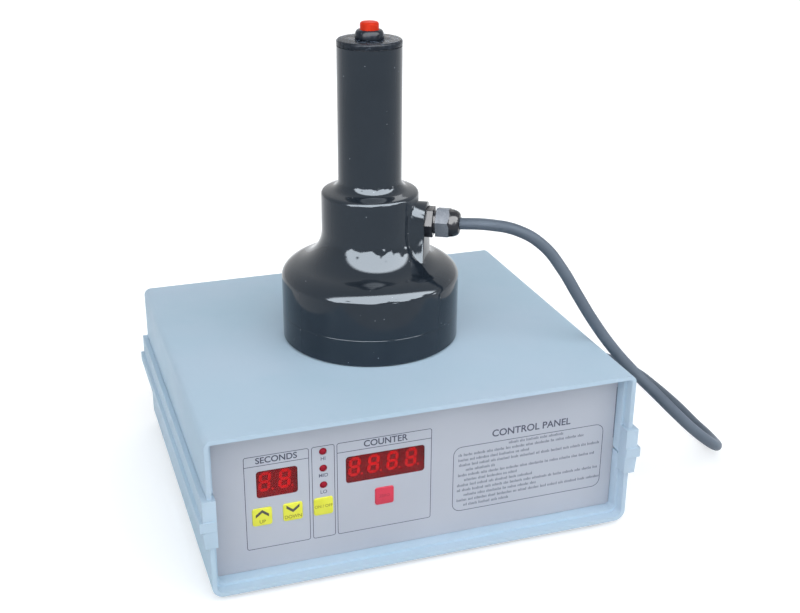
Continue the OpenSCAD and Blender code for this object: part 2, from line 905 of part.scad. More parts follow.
module led() {
    rod(led_d, led_tip + led_foot / 2 - led_len, led_tip - led_d / 4);
    intersection() {
        translate([0, 0, led_tip - led_d / 2]) sphere(d = led_d);
        rod(led_d, led_tip - led_d / 2, led_tip);
    }
    for (side = [-1, 1])
        translate([side * led_leg_pitch / 2, 0, 0])
            slab(-board_front, led_tip - led_len + led_foot) square(led_leg_w, center = true);
}

module level_leds() color([0.45, 0.05, 0.08])
    for (i = [-1 : 1]) at_front(led_x, led_z + i * led_pitch) led();

// A key slides through overlay and plate; its flange stops against the back of the plate
module key(x) {
    at_front(x, key_z) {
        slab(-plate_back - key_flange_t, key_proud) rounded(key_w, key_w, key_r - slide_gap);
        slab(-plate_back - seat_gap - key_flange_t, -plate_back - seat_gap)
            rounded(key_w + 2 * key_flange, key_w + 2 * key_flange, key_r);
        rod(key_stem_d, -key_stem_end, -plate_back - key_flange_t / 2);
    }
}

module key_increase() color(yellow_key) key(increase_x);

module key_reduce() color(yellow_key) key(reduce_x);

module key_power() color(yellow_key) key(power_x);

module key_reset() color(red_key) key(reset_x);

module tact_switches() color([0.15, 0.15, 0.16]) for (x = KEY_X) at_front(x, key_z) {
    slab(-board_front, tact_body_h - board_front) square(tact_body_w, center = true);
    rod(tact_plunger_d, tact_body_h / 2 - board_front, tact_h - board_front);
}

module display_board() color(board_green)
    along_y(face_y + board_front, face_y + board_front + board_t) difference() {
        translate([board_left, foot_h + board_low])
            square([board_right - board_left, board_high - board_low]);
        for (x = board_hole_x, z = board_hole_z)
            translate([x, foot_h + z]) circle(d = small_screw_d + 2 * fit_gap);
    }

// Rear panel

module fan_corners() {
    four_corners(fan_screw_pitch / 2, fan_screw_pitch / 2) children();
}

module rear_panel() color(panel_colour) difference() {
    mirror([0, 1, 0]) along_y(plate_y, plate_y + plate_t) case_outline(wall + fit_gap);
    at_rear(fan_x, rear_z) {
        rod(fan_bore_d, -plate_t - 1, 1);
        fan_corners() rod(small_screw_d + 2 * fit_gap, -plate_t - 1, 1);
    }
    at_rear(inlet_x, rear_z)
        slab(-plate_t - 1, 1) square([inlet_w + 2 * fit_gap, inlet_h + 2 * fit_gap], center = true);
    at_rear(rocker_x, rear_z)
        slab(-plate_t - 1, 1)
            square([rocker_body_w + 2 * fit_gap, rocker_body_h + 2 * fit_gap], center = true);
    at_rear(rear_gland_x, rear_z) rod(gland_thread_d + 2 * fit_gap, -plate_t - 1, 1);
}

// The fan lies against the inside of the rear panel and blows out through it
fan_outer = -plate_t;
fan_inner = -plate_t - fan_t;

module fan_frame() color([0.10, 0.10, 0.11]) at_rear(fan_x, rear_z) {
    difference() {
        slab(fan_inner, fan_outer) rounded(fan_w, fan_w, fan_corner_r);
        rod(fan_bore_d, fan_inner - 1, fan_outer + 1);
        fan_corners() rod(small_screw_d + 2 * pin_gap, fan_inner - 1, fan_outer + 1);
    }
    rod(fan_hub_d, fan_inner, fan_inner + fan_plate_t);
    rod(fan_shaft_d, fan_inner + fan_plate_t / 2, fan_outer - 1);
    for (turn = [45 : 90 : 315]) rotate(turn)
        slab(fan_inner, fan_inner + fan_plate_t)
            translate([fan_hub_d / 2 - fan_arm_root, -fan_arm_w / 2])
                square([(fan_bore_d - fan_hub_d) / 2 + 1.5 * fan_arm_root, fan_arm_w]);
}

module fan_rotor() color([0.14, 0.14, 0.15]) at_rear(fan_x, rear_z) difference() {
    low = fan_inner + fan_plate_t + fan_plate_gap;
    union() {
        rod(fan_hub_d, low, low + fan_hub_len);
        intersection() {
            rod(fan_bore_d - 2 * fan_tip_gap, low + fan_blade_in, low + fan_hub_len - fan_blade_in);
            for (i = [0 : fan_blades - 1]) rotate(i * 360 / fan_blades)
                translate([fan_hub_d / 2 - fan_blade_root, 0, low + fan_hub_len / 2])
                    rotate([fan_blade_tilt, 0, 0])
                        translate([0, -fan_blade_t / 2, -fan_t])
                            cube([fan_bore_d / 2, fan_blade_t, 2 * fan_t]);
        }
    }
    rod(fan_shaft_d + 2 * pin_gap, low - 1, low + fan_hub_len + 1);
}

module fan_guard() color("silver") at_rear(fan_x, rear_z) slab(0, guard_t) difference() {
    rings = floor((fan_bore_d / 2 - guard_ring_w) / guard_ring_pitch);
    reach = fan_screw_pitch / 2 * sqrt(2);
    union() {
        for (i = [1 : rings]) difference() {
            circle(i * guard_ring_pitch + guard_ring_w / 2);
            circle(i * guard_ring_pitch - guard_ring_w / 2);
        }
        for (turn = [45, 135]) rotate(turn) square([2 * reach, guard_ring_w], center = true);
        fan_corners() circle(d = guard_eye_d);
    }
    fan_corners() circle(d = small_screw_d + 2 * fit_gap);
}

module fan_screws() color("silver") at_rear(fan_x, rear_z) fan_corners()
    translate([0, 0, guard_t + small_head_h]) mirror([0, 0, 1])
        screw_up(small_screw_d, small_head_d, small_head_h, guard_t + plate_t + small_screw_bite);

// A three-pin appliance inlet: a socket with its two upper corners cut off
module socket_outline() {
    w = inlet_w - 2 * socket_wall;
    h = inlet_h - 2 * socket_wall;
    polygon([
        [-w / 2, -h / 2], [w / 2, -h / 2], [w / 2, h / 2 - socket_chamfer], [w / 2 - socket_chamfer, h / 2],
        [-w / 2 + socket_chamfer, h / 2], [-w / 2, h / 2 - socket_chamfer]
    ]);
}

PIN_PLACES = [[-line_pin_x, line_pin_z], [line_pin_x, line_pin_z], [0, earth_pin_z]];

module power_inlet() color([0.09, 0.09, 0.10]) at_rear(inlet_x, rear_z) difference() {
    socket_floor = inlet_flange_t - socket_depth;
    union() {
        slab(0, inlet_flange_t) rounded(inlet_w + 2 * inlet_flange, inlet_h + 2 * inlet_flange, 2);
        slab(socket_floor - inlet_base_t, inlet_flange_t / 2) square([inlet_w, inlet_h], center = true);
    }
    slab(socket_floor, inlet_flange_t + 1) socket_outline();
    for (p = PIN_PLACES) translate(p)
        slab(socket_floor - inlet_base_t - 1, socket_floor + 1) square([pin_w, pin_h], center = true);
}

module inlet_pins() color("silver") at_rear(inlet_x, rear_z) for (p = PIN_PLACES) translate(p) {
    socket_floor = inlet_flange_t - socket_depth;
    slab(socket_floor - inlet_base_t - pin_tail, socket_floor + pin_len)
        square([pin_w, pin_h], center = true);
}

// The rocker turns on two stub pins in the sides of its frame
rocker_room_h = rocker_len + 2 * rocker_end_gap;
rocker_room_w = rocker_w + 2 * rocker_side_gap;
rocker_body_h = rocker_room_h + 2 * rocker_frame_wall;
rocker_body_w = rocker_room_w + 2 * rocker_frame_wall;

module rocker_frame() color([0.09, 0.09, 0.10]) at_rear(rocker_x, rear_z) difference() {
    union() {
        slab(0, rocker_rim_t)
            rounded(rocker_body_w + 2 * rocker_rim, rocker_body_h + 2 * rocker_rim, rocker_corner_r);
        slab(-rocker_depth, rocker_rim_t / 2) square([rocker_body_w, rocker_body_h], center = true);
    }
    slab(-rocker_depth + rocker_frame_wall, rocker_rim_t + 1)
        square([rocker_room_w, rocker_room_h], center = true);
    translate([0, 0, rocker_axis]) rotate([0, 90, 0])
        cylinder(d = rocker_pin_d + 2 * pin_gap, h = rocker_room_w + 2 * rocker_pin_len, center = true);
}

module rocker_switch() color([0.75, 0.10, 0.08]) at_rear(rocker_x, rear_z)
    translate([0, 0, rocker_axis]) rotate([rocker_tilt, 0, 0]) rotate([0, 90, 0]) {
        half = rocker_len / 2;
        translate([0, 0, -rocker_w / 2]) linear_extrude(rocker_w) polygon([
            [-rocker_rise, -half], [-rocker_rise + rocker_dip, 0], [-rocker_rise, half],
            [rocker_heel[0], half - rocker_heel[1]], rocker_toe,
            [rocker_toe[0], -rocker_toe[1]], [rocker_heel[0], rocker_heel[1] - half]
        ]);
        cylinder(d = rocker_pin_d, h = rocker_room_w + 2 * rocker_pin_len - 4 * fit_gap, center = true);
    }

// Cable glands, drawn outwards from their seat

module gland_body_shape(shank) {
    difference() {
        union() {
            rod(gland_thread_d, -shank, gland_flange_t / 2);
            slab(0, gland_flange_t) rotate(30) circle(d = gland_hex_d, $fn = 6);
            rod(gland_barrel_d, gland_flange_t / 2, gland_barrel_end);
        }
        rod(cable_d + 2 * gland_mouth_gap, -shank - 1, gland_barrel_end + 1);
        rod(gland_seal_d + 2 * pin_gap, gland_seal_start, gland_barrel_end + 1);
    }
}

module gland_seal_shape() {
    difference() {
        rod(gland_seal_d, gland_seal_start, gland_seal_end);
        rod(cable_d + 2 * pin_gap, gland_seal_start - 1, gland_seal_end + 1);
    }
}

// The turned end of the nut cuts the corners of its hexagon back in scallops
module gland_nut_shape() {
    round_r = gland_round_d / 2;
    mouth_r = cable_d / 2 + gland_lip;
    wide_r = gland_hex_d / 2 + 1;
    low = gland_nut_start - 1;
    difference() {
        intersection() {
            slab(gland_nut_start, gland_mouth) rotate(gland_nut_turn) circle(d = gland_hex_d, $fn = 6);
            rotate_extrude() polygon(concat(
                [[0, low], [wide_r, low], [wide_r, gland_nut_end - gland_chamfer]],
                arc([mouth_r, gland_nut_end], [round_r - mouth_r, gland_dome_h], 0, 90, 8),
                [[0, gland_mouth]]
            ));
        }
        rod(gland_barrel_d + 2 * pin_gap, low, gland_shoulder);
        rod(cable_d + 2 * gland_mouth_gap, gland_nut_start, gland_mouth + 1);
    }
}

module rear_gland_body() color(head_colour) at_rear(rear_gland_x, rear_z) gland_body_shape(rear_shank);

module rear_gland_nut() color(head_colour) at_rear(rear_gland_x, rear_z) gland_nut_shape();

module rear_gland_locknut() color(head_colour) at_rear(rear_gland_x, rear_z) difference() {
    slab(-plate_t - locknut_h, -plate_t) circle(d = gland_hex_d, $fn = 6);
    rod(gland_thread_d + 2 * pin_gap, -plate_t - locknut_h - 1, 0);
}

// Power stage

module power_board() color(board_green) translate([0, power_board_y, 0]) difference() {
    slab(board_top - board_t, board_top) square([power_board_w, power_board_d], center = true);
    four_corners(power_board_w / 2 - post_inset, power_board_d / 2 - post_inset)
        rod(small_screw_d + 2 * fit_gap, board_top - board_t - 1, board_top + 1);
}

module board_screw() {
    screw_up(small_screw_d, small_head_d, small_head_h, board_t + small_screw_bite - 1);
}

module board_screws() color("silver") {
    translate([0, power_board_y, board_top + small_head_h])
        four_corners(power_board_w / 2 - post_inset, power_board_d / 2 - post_inset)
            mirror([0, 0, 1]) board_screw();
    for (x = board_hole_x, z = board_hole_z)
        at_front(x, z) translate([0, 0, -board_front - board_t - small_head_h]) board_screw();
}

module heat_sink() color("silver") translate([sink_x, sink_y, 0]) slab(board_top, board_top + sink_h) {
    fins = floor((sink_w - fin_t) / fin_pitch);
    translate([-sink_w / 2, 0]) square([sink_w, sink_base]);
    for (i = [0 : fins])
        translate([(i - fins / 2) * fin_pitch - fin_t / 2, 0]) square([fin_t, sink_d]);
}

// A flat power device that stands on its leads against the heat sink
module flat_device(size, leads) {
    translate([-size[0] / 2, -size[1], board_top + transistor_lift]) cube(size);
    for (i = [0 : leads - 1])
        translate([(i - (leads - 1) / 2) * lead_pitch - lead_w / 2, -size[1] / 2 - lead_w / 2, board_top])
            cube([lead_w, lead_w, transistor_lift + 1]);
}

transistors = 4;
device_row_x = sink_x - sink_w / 2 + transistor[0] / 2 + 3;

module power_transistors() color([0.10, 0.10, 0.10]) for (i = [0 : transistors - 1])
    translate([device_row_x + i * transistor_pitch, sink_y, 0]) flat_device(transistor, 3);

module bridge_rectifier() color([0.10, 0.10, 0.10])
    translate([device_row_x + transistors * transistor_pitch + bridge_gap, sink_y, 0])
        flat_device(bridge, 4);

module storage_capacitors() color([0.15, 0.20, 0.36]) for (i = [-1, 1])
    translate([storage_x, storage_y + i * (storage_r + storage_gap / 2), board_top]) rotate_extrude()
        polygon([
            [0, 0], [storage_r - can_edge, 0], [storage_r, can_edge],
            [storage_r, can_groove_z - can_groove], [storage_r - can_groove, can_groove_z],
            [storage_r, can_groove_z + can_groove],
            [storage_r, storage_h - 2 * can_edge], [storage_r - 2 * can_edge, storage_h],
            [storage_r - 4 * can_edge, storage_h - can_edge], [0, storage_h - can_edge]
        ]);

module film_capacitors() color([0.72, 0.16, 0.12]) for (x = film_x)
    translate([x, film_y, 0]) slab(board_top, board_top + film[2]) rounded(film[0], film[1], film_edge);

module core_windows(d) {
    window_w = (core_w - core_middle) / 2 - core_leg;
    for (side = [-1, 1])
        translate([side * (core_middle + window_w) / 2, 0, 0])
            cube([window_w, d, core_w - 2 * core_leg], center = true);
}

module at_transformer() {
    translate([transformer_x, transformer_y, board_top + core_w / 2]) children();
}

module transformer_core() color([0.20, 0.20, 0.21]) at_transformer() difference() {
    cube([core_w, core_d, core_w], center = true);
    core_windows(core_d + 2);
}

// The bobbin's opening passes over the core's middle leg
module winding_ring(thick, r) {
    opening = [core_middle + 2 * core_gap, core_d + 2 * core_gap];
    difference() {
        rounded(opening[0] + 2 * thick, opening[1] + 2 * thick, r);
        square(opening, center = true);
    }
}

module transformer_winding() color([0.80, 0.64, 0.20]) at_transformer() {
    window_w = (core_w - core_middle) / 2 - core_leg;
    tall = core_w - 2 * core_leg - 2 * core_gap;
    cheek_w = window_w - 2 * core_gap;
    slab(-tall / 2, tall / 2) winding_ring(cheek_w - winding_dip, winding_r);
    for (end = [-1, 1]) translate([0, 0, end * (tall - winding_cheek) / 2])
        slab(-winding_cheek / 2, winding_cheek / 2) winding_ring(cheek_w, cheek_r);
}

// A ring core with wire wound on two stretches of it
module filter_choke() color([0.72, 0.38, 0.16]) translate([choke_x, choke_y, board_top]) {
    wound_w = choke_core_w + 2 * choke_wire;
    wound_h = choke_core_h + 2 * choke_wire;
    rotate_extrude()
        translate([choke_r - choke_core_w / 2, choke_wire]) square([choke_core_w, choke_core_h]);
    for (half = [0, 180]) rotate(half + choke_gap) rotate_extrude(angle = 180 - 2 * choke_gap)
        translate([choke_r, wound_h / 2]) rounded(wound_w, wound_h, choke_wire);
}

module mains_fuse() color([0.80, 0.82, 0.84]) translate([fuse_x, fuse_y, board_top]) {
    translate([0, 0, fuse_lift + fuse_d / 2]) rotate([90, 0, 0]) {
        cylinder(d = fuse_glass_d, h = fuse_len - fuse_cap / 2, center = true);
        for (end = [-1, 1]) translate([0, 0, end * (fuse_len - fuse_cap) / 2])
            cylinder(d = fuse_d, h = fuse_cap, center = true);
    }
    for (end = [-1, 1]) translate([0, end * (fuse_len - fuse_cap) / 2, 0])
        slab(0, fuse_lift + fuse_d / 2) difference() {
            square([fuse_d + 2, 4], center = true);
            square([fuse_d - 1, 6], center = true);
        }
}

// Sealing head, drawn about its own axis from its underside

function head_outside() = concat(
    [[head_r, cap_h]],
    arc([head_r - dome_w, shoulder_h], [dome_w, dome_h], 0, dome_end, 14),
    arc([collar_r + collar_fillet, collar_low], [collar_fillet, collar_fillet],
        180 + dome_lean * 8 / 9, 180, 8),
    arc([collar_r - collar_edge_r, collar_top - collar_edge_r], [collar_edge_r, collar_edge_r],
        0, 90 - collar_slope, 5),
    arc([handle_r + neck_fillet, neck_z], [neck_fillet, neck_fillet], 270 - collar_slope, 180, 8),
    [[handle_r, handle_top]]
);

function head_inside() = let (
    fillet_in = collar_fillet + head_wall,
    neck_in = neck_fillet + head_wall
) concat(
    [[handle_r - head_wall, handle_top + 1]],
    arc([handle_r + neck_fillet, neck_z], [neck_in, neck_in], 180, 270 - collar_slope, 6),
    [[collar_r - head_wall, collar_top - head_wall]],
    arc([collar_r + collar_fillet, collar_low], [fillet_in, fillet_in], 180, 180 + dome_lean, 7),
    arc([head_r - dome_w, shoulder_h], [dome_w - head_wall, dome_h - head_wall], dome_end * 8 / 9, 0, 8),
    [[head_r - head_wall, cap_h - 1]]
);

// The four screw posts inside the straight wall
module head_posts() {
    for (i = [0 : head_post_count - 1]) rotate(head_post_turn + i * 360 / head_post_count)
        translate([head_post_at, 0, 0]) children();
}

module head_body() color(head_colour) at_head() difference() {
    union() {
        difference() {
            union() {
                rotate_extrude($fn = 96) polygon(concat([[0, cap_h]], head_outside(), [[0, handle_top]]));
                at_head_gland() slab(collar_r - gland_boss_depth - gland_seat, 0) {
                    circle(gland_boss_r);
                    translate([0, -gland_boss_r]) square([gland_z - dome_tip[1], 2 * gland_boss_r]);
                }
            }
            rotate_extrude($fn = 96)
                polygon(concat([[0, cap_h - 1], [0, handle_top + 1]], head_inside()));
        }
        head_posts() {
            rod(head_post_d, cap_h, cap_h + head_post_h);
            slab(cap_h + spigot_h + fit_gap, cap_h + head_post_h) translate([0, -head_post_web / 2])
                square([head_r - head_wall / 2 - head_post_at, head_post_web]);
        }
    }
    head_posts() rod(head_screw_d + 2 * pin_gap, cap_h - 1, cap_h + head_screw_bite + 1);
    at_head_gland() rod(gland_thread_d + 2 * pin_gap, -gland_shank - 8, 1);
}

module head_base_cap() color(head_colour) at_head() difference() {
    inner_r = head_r - head_wall;
    spigot_r = inner_r - fit_gap;
    union() {
        rotate_extrude($fn = 96) polygon([
            [0, 0], [head_r - cap_edge, 0], [head_r, cap_edge], [head_r, cap_h], [spigot_r, cap_h],
            [spigot_r, cap_h + spigot_h], [spigot_r - spigot_t, cap_h + spigot_h],
            [spigot_r - spigot_t, cap_floor], [0, cap_floor]
        ]);
        head_posts() rod(head_post_d, cap_floor / 2, cap_h);
        rod(former_post_d, cap_floor / 2, cap_floor + coil_wire_d + former_t);
    }
    head_posts() {
        rod(head_screw_d + 2 * fit_gap, -1, cap_h + 1);
        rod(head_screw_head_d + 2 * fit_gap, -1, head_screw_recess + head_screw_head_h);
    }
}

module head_screws() color("gray") at_head() head_posts() {
    rod(head_screw_head_d, head_screw_recess, head_screw_recess + head_screw_head_h);
    rod(head_screw_d, head_screw_recess + head_screw_head_h / 2, cap_h + head_screw_bite);
}

// Flat coil: turns of thick wire side by side on the floor of the cap
module induction_coil() color([0.72, 0.40, 0.18]) at_head() rotate_extrude($fn = 96) {
    overlap = 0.15;
    for (i = [0 : coil_turns - 1])
        translate([coil_inner_r + (i + 0.5) * coil_pitch, cap_floor + coil_wire_d / 2]) intersection() {
            circle(d = coil_wire_d + overlap, $fn = 24);
            square([coil_wire_d + 2, coil_wire_d], center = true);
        }
}

module coil_former() color([0.86, 0.84, 0.76]) at_head() {
    low = cap_floor + coil_wire_d;
    difference() {
        rod(2 * former_r, low, low + former_t);
        rod(former_post_d + 2 * fit_gap, low - 1, low + former_t + 1);
    }
}

module ferrite_bars() color([0.24, 0.24, 0.25]) at_head() for (i = [0 : bar_count - 1])
    rotate(i * 360 / bar_count)
        translate([bar_in, -bar[1] / 2, cap_floor + coil_wire_d + former_t]) cube(bar);

module handle_cap() color(head_colour) at_head() difference() {
    spigot_r = handle_r - head_wall - fit_gap;
    low = handle_top - cap_spigot_h;
    high = handle_top + handle_cap_t;
    rotate_extrude() polygon([
        [0, handle_top], [spigot_r - cap_spigot_t, handle_top], [spigot_r - cap_spigot_t, low],
        [spigot_r, low], [spigot_r, handle_top], [handle_r - cap_groove, handle_top],
        [handle_r - cap_groove, handle_top + cap_groove], [handle_r, handle_top + 2 * cap_groove],
        [handle_r, high - cap_bevel], [handle_r - cap_bevel, high], [0, high]
    ]);
    rod(barrel_d + 2 * fit_gap, low - 1, high + 1);
}

// Push button, drawn from the top of the handle's cap
module at_button() {
    translate([0, 0, handle_top + handle_cap_t]) children();
}

module button_housing() color(head_colour) at_head() at_button() difference() {
    rim_r = rim_d / 2;
    rotate_extrude() polygon(concat(
        [[0, -barrel_len], [barrel_d / 2, -barrel_len], [barrel_d / 2, 0], [rim_r, 0]],
        arc([rim_r - rim_edge[0], rim_h - rim_edge[1]], rim_edge, 0, 90, 8),
        [[0, rim_h]]
    ));
    rod(button_d + 2 * slide_gap, -barrel_len - 1, rim_h + 1);
    rod(2 * barrel_bore_r, -barrel_len - 1, rim_h - rim_lip);
}

module button_nut() color("silver") at_head() at_button() difference() {
    slab(-handle_cap_t - button_nut_h, -handle_cap_t) circle(d = button_nut_d, $fn = 6);
    rod(barrel_d + 2 * pin_gap, -handle_cap_t - button_nut_h - 1, 0);
}

module button_switch() color([0.16, 0.16, 0.18]) at_head() at_button() {
    rod(2 * (barrel_bore_r - pin_gap), -barrel_len, spring_low);
    for (side = [-1, 1])
        translate([side * 3 - switch_tab[0] / 2, -switch_tab[1] / 2, -barrel_len - switch_tab[2]])
            cube([switch_tab[0], switch_tab[1], switch_tab[2] + 1]);
}

module button_spring() color("silver") at_head() at_button() {
    low = spring_low + spring_wire_d / 2 + seat_gap;
    high = button_bottom - spring_wire_d / 2 - seat_gap;
    steps = 12 * spring_turns;
    sweep([
        for (i = [0 : steps])
            [spring_r * cos(30 * i), spring_r * sin(30 * i), low + (high - low) * i / steps]
    ], spring_wire_d / 2, 6);
}

module trigger_button() color(button_red) at_head() at_button() rotate_extrude() polygon([
    [0, button_bottom], [button_flange_r, button_bottom], [button_flange_r, button_flange_top],
    [button_d / 2, button_flange_top], [button_d / 2, rim_h + button_proud - button_bevel],
    [button_d / 2 - button_bevel, rim_h + button_proud], [0, rim_h + button_proud]
]);

module head_gland_body() color(head_colour) at_head() at_head_gland() gland_body_shape(gland_shank);

module head_gland_nut() color(head_colour) at_head() at_head_gland() gland_nut_shape();

module gland_seals() color([0.2, 0.2, 0.2]) {
    at_head() at_head_gland() gland_seal_shape();
    at_rear(rear_gland_x, rear_z) gland_seal_shape();
}

module head_cable() color(cable_grey) sweep(concat(
    [head_gland_point(-gland_shank), head_gland_point(gland_mouth)],
    cable_route,
    [rear_gland_point(gland_mouth), rear_gland_point(-rear_shank)]
), cable_d / 2, cable_sides);

top_shell();
bottom_shell();
left_side_strip();
right_side_strip();
case_screws();
rubber_feet();
front_panel();
panel_overlay();
time_window();
count_window();
time_display();
count_display();
time_digits();
count_digits();
level_leds();
key_increase();
key_reduce();
key_power();
key_reset();
tact_switches();
display_board();
rear_panel();
fan_frame();
fan_rotor();
fan_guard();
fan_screws();
power_inlet();
inlet_pins();
rocker_frame();
rocker_switch();
rear_gland_body();
rear_gland_nut();
rear_gland_locknut();
power_board();
board_screws();
heat_sink();
power_transistors();
bridge_rectifier();
storage_capacitors();
film_capacitors();
transformer_core();
transformer_winding();
filter_choke();
mains_fuse();
head_body();
head_base_cap();
head_screws();
induction_coil();
coil_former();
ferrite_bars();
handle_cap();
button_housing();
button_nut();
button_switch();
button_spring();
trigger_button();
head_gland_body();
head_gland_nut();
gland_seals();
head_cable();
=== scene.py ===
import json
import math

import bmesh
import bpy
from mathutils import Matrix, Vector


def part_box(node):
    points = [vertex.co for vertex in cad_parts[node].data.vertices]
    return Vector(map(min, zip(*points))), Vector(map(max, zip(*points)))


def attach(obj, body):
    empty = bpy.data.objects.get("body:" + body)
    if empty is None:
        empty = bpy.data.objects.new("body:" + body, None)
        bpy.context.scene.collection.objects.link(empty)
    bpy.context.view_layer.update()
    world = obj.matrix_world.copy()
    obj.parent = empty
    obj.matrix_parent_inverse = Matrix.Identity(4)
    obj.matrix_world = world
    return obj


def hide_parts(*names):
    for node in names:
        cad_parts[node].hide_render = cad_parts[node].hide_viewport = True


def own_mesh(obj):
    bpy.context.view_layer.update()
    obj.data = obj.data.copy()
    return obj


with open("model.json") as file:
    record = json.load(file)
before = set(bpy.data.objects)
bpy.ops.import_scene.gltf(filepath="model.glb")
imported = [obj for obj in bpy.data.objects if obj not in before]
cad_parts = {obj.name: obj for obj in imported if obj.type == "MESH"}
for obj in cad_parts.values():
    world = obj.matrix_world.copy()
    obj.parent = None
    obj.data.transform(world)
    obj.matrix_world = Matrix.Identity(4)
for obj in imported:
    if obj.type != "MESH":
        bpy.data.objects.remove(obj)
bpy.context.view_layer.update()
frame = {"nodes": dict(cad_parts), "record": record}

MM = 0.001
MACHINE = "machine"
RECORD = frame["record"]
BODY_OF = {node: body for body, nodes in RECORD["behaviour"]["bodies"].items() for node in nodes}
SLOT_OF = {part["node"]: part["material_slot"] for part in RECORD["subparts"]}


# Places on the object, taken from the frame
def middle_of(node):
    low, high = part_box(node)
    return (low + high) / 2


FACE_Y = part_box("panel_overlay")[0].y
CASE_LOW_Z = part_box("bottom_shell")[0].z
CAP_LOW, CAP_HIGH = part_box("head_base_cap")
HEAD_R = (CAP_HIGH.x - CAP_LOW.x) / 2
HEAD_AXIS = middle_of("head_base_cap").xy


# Camera: where the photographer stood, and how the camera was turned
CAMERA_AT = Vector((-0.23796, -0.75245, 0.46750))
CAMERA_YAW = 0.3322
CAMERA_PITCH = 0.40031
CAMERA_ROLL = 0.00741
LENS_MM = 53.91
SENSOR_MM = 36


def make_camera():
    data = bpy.data.cameras.new("camera")
    data.sensor_width = SENSOR_MM
    data.lens = LENS_MM
    camera = bpy.data.objects.new("camera", data)
    turn = (
        Matrix.Rotation(-CAMERA_YAW, 4, "Z")
        @ Matrix.Rotation(math.pi / 2 - CAMERA_PITCH, 4, "X")
        @ Matrix.Rotation(CAMERA_ROLL, 4, "Z")
    )
    camera.matrix_world = Matrix.Translation(CAMERA_AT) @ turn
    bpy.context.scene.collection.objects.link(camera)
    bpy.context.scene.camera = camera


make_camera()


# Finishes

def colour(red, green, blue):
    """A colour written as it looks on screen, from 0 to 255, in linear light."""
    def linear(value):
        share = value / 255
        return share / 12.92 if share <= 0.04045 else ((share + 0.055) / 1.055) ** 2.4

    return linear(red), linear(green), linear(blue), 1.0


# The middle stretch of a noise texture's values, where most of them lie
NOISE_RANGE = (0.3, 0.7)
EVEN = (1, 1, 1)


class Finish:
    """A surface finish: a shader whose colour, gloss and relief follow noise in the object's space."""

    def __init__(self, name, roughness=0.5, metallic=0.0):
        self.material = bpy.data.materials.new(name)
        self.material.use_nodes = True
        self.tree = self.material.node_tree
        self.shader = self.tree.nodes["Principled BSDF"]
        self.shader.inputs["Roughness"].default_value = roughness
        self.shader.inputs["Metallic"].default_value = metallic
        self.space = self.tree.nodes.new("ShaderNodeTexCoord").outputs["Object"]

    def set(self, **values):
        for name, value in values.items():
            self.shader.inputs[name.replace("_", " ")].default_value = value

    def link(self, output, socket):
        self.tree.links.new(output, self.shader.inputs[socket])

    def noise(self, scale, detail=2.0, stretch=EVEN):
        """Smooth noise with about one blob per metre at scale 1."""
        place = self.tree.nodes.new("ShaderNodeMapping")
        place.inputs["Scale"].default_value = stretch
        self.tree.links.new(self.space, place.inputs["Vector"])
        node = self.tree.nodes.new("ShaderNodeTexNoise")
        node.inputs["Scale"].default_value = scale
        node.inputs["Detail"].default_value = detail
        self.tree.links.new(place.outputs["Vector"], node.inputs["Vector"])
        return node.outputs["Fac"]

    def specks(self, scale, size):
        """1 inside small dots scattered over the surface, 0 outside them."""
        node = self.tree.nodes.new("ShaderNodeTexVoronoi")
        node.inputs["Scale"].default_value = scale
        self.tree.links.new(self.space, node.inputs["Vector"])
        return self.spread(node.outputs["Distance"], size, size / 2, 0.0, 1.0)

    def spread(self, value, from_low, from_high, low, high):
        """Values of one range laid over another range."""
        node = self.tree.nodes.new("ShaderNodeMapRange")
        limits = {"From Min": from_low, "From Max": from_high, "To Min": low, "To Max": high}
        for socket, number in limits.items():
            node.inputs[socket].default_value = number
        self.tree.links.new(value, node.inputs["Value"])
        return node.outputs["Result"]

    def mix(self, factor, first, second):
        """Two colours mixed, each a tuple or a socket."""
        node = self.tree.nodes.new("ShaderNodeMix")
        node.data_type = "RGBA"
        self.tree.links.new(factor, node.inputs["Factor"])
        for socket, value in (("A", first), ("B", second)):
            target = next(i for i in node.inputs if i.name == socket and i.type == "RGBA")
            if isinstance(value, tuple):
                target.default_value = value
            else:
                self.tree.links.new(value, target)
        return next(o for o in node.outputs if o.type == "RGBA")

    def paint(self, first, second, scale, detail=2.0, stretch=EVEN):
        """Colour that drifts between two close tones."""
        drift = self.spread(self.noise(scale, detail, stretch), *NOISE_RANGE, 0.0, 1.0)
        tone = self.mix(drift, first, second)
        self.link(tone, "Base Color")
        return tone

    def gloss(self, low, high, scale, detail=2.0, stretch=EVEN):
        """Roughness that drifts between two values."""
        drift = self.spread(self.noise(scale, detail, stretch), *NOISE_RANGE, low, high)
        self.link(drift, "Roughness")

    def relief(self, scale, depth, detail=2.0, stretch=EVEN):
        """Fine bumps, about as high as the depth."""
        node = self.tree.nodes.new("ShaderNodeBump")
        node.inputs["Distance"].default_value = depth
        node.inputs["Strength"].default_value = 1.0
        self.tree.links.new(self.noise(scale, detail, stretch), node.inputs["Height"])
        self.link(node.outputs["Normal"], "Normal")


def moulded(name, first, second, roughness, grain=900, depth=0.04 * MM, ior=1.45):
    """Moulded plastic or rubber with a fine grain."""
    finish = Finish(name)
    finish.paint(first, second, scale=18)
    finish.gloss(roughness - 0.05, roughness + 0.05, scale=40)
    finish.relief(scale=grain, depth=depth)
    finish.set(IOR=ior)
    return finish.material


def case_plastic():
    finish = Finish("case_plastic")
    tone = finish.paint(colour(168, 190, 205), colour(175, 192, 207), scale=9, detail=3)
    stain = finish.spread(finish.noise(scale=45, detail=4), 0.62, 0.80, 0.0, 0.35)
    finish.link(finish.mix(stain, tone, colour(161, 186, 202)), "Base Color")
    finish.gloss(0.46, 0.56, scale=60)
    finish.relief(scale=1500, depth=0.03 * MM)
    finish.set(IOR=1.12)
    return finish.material


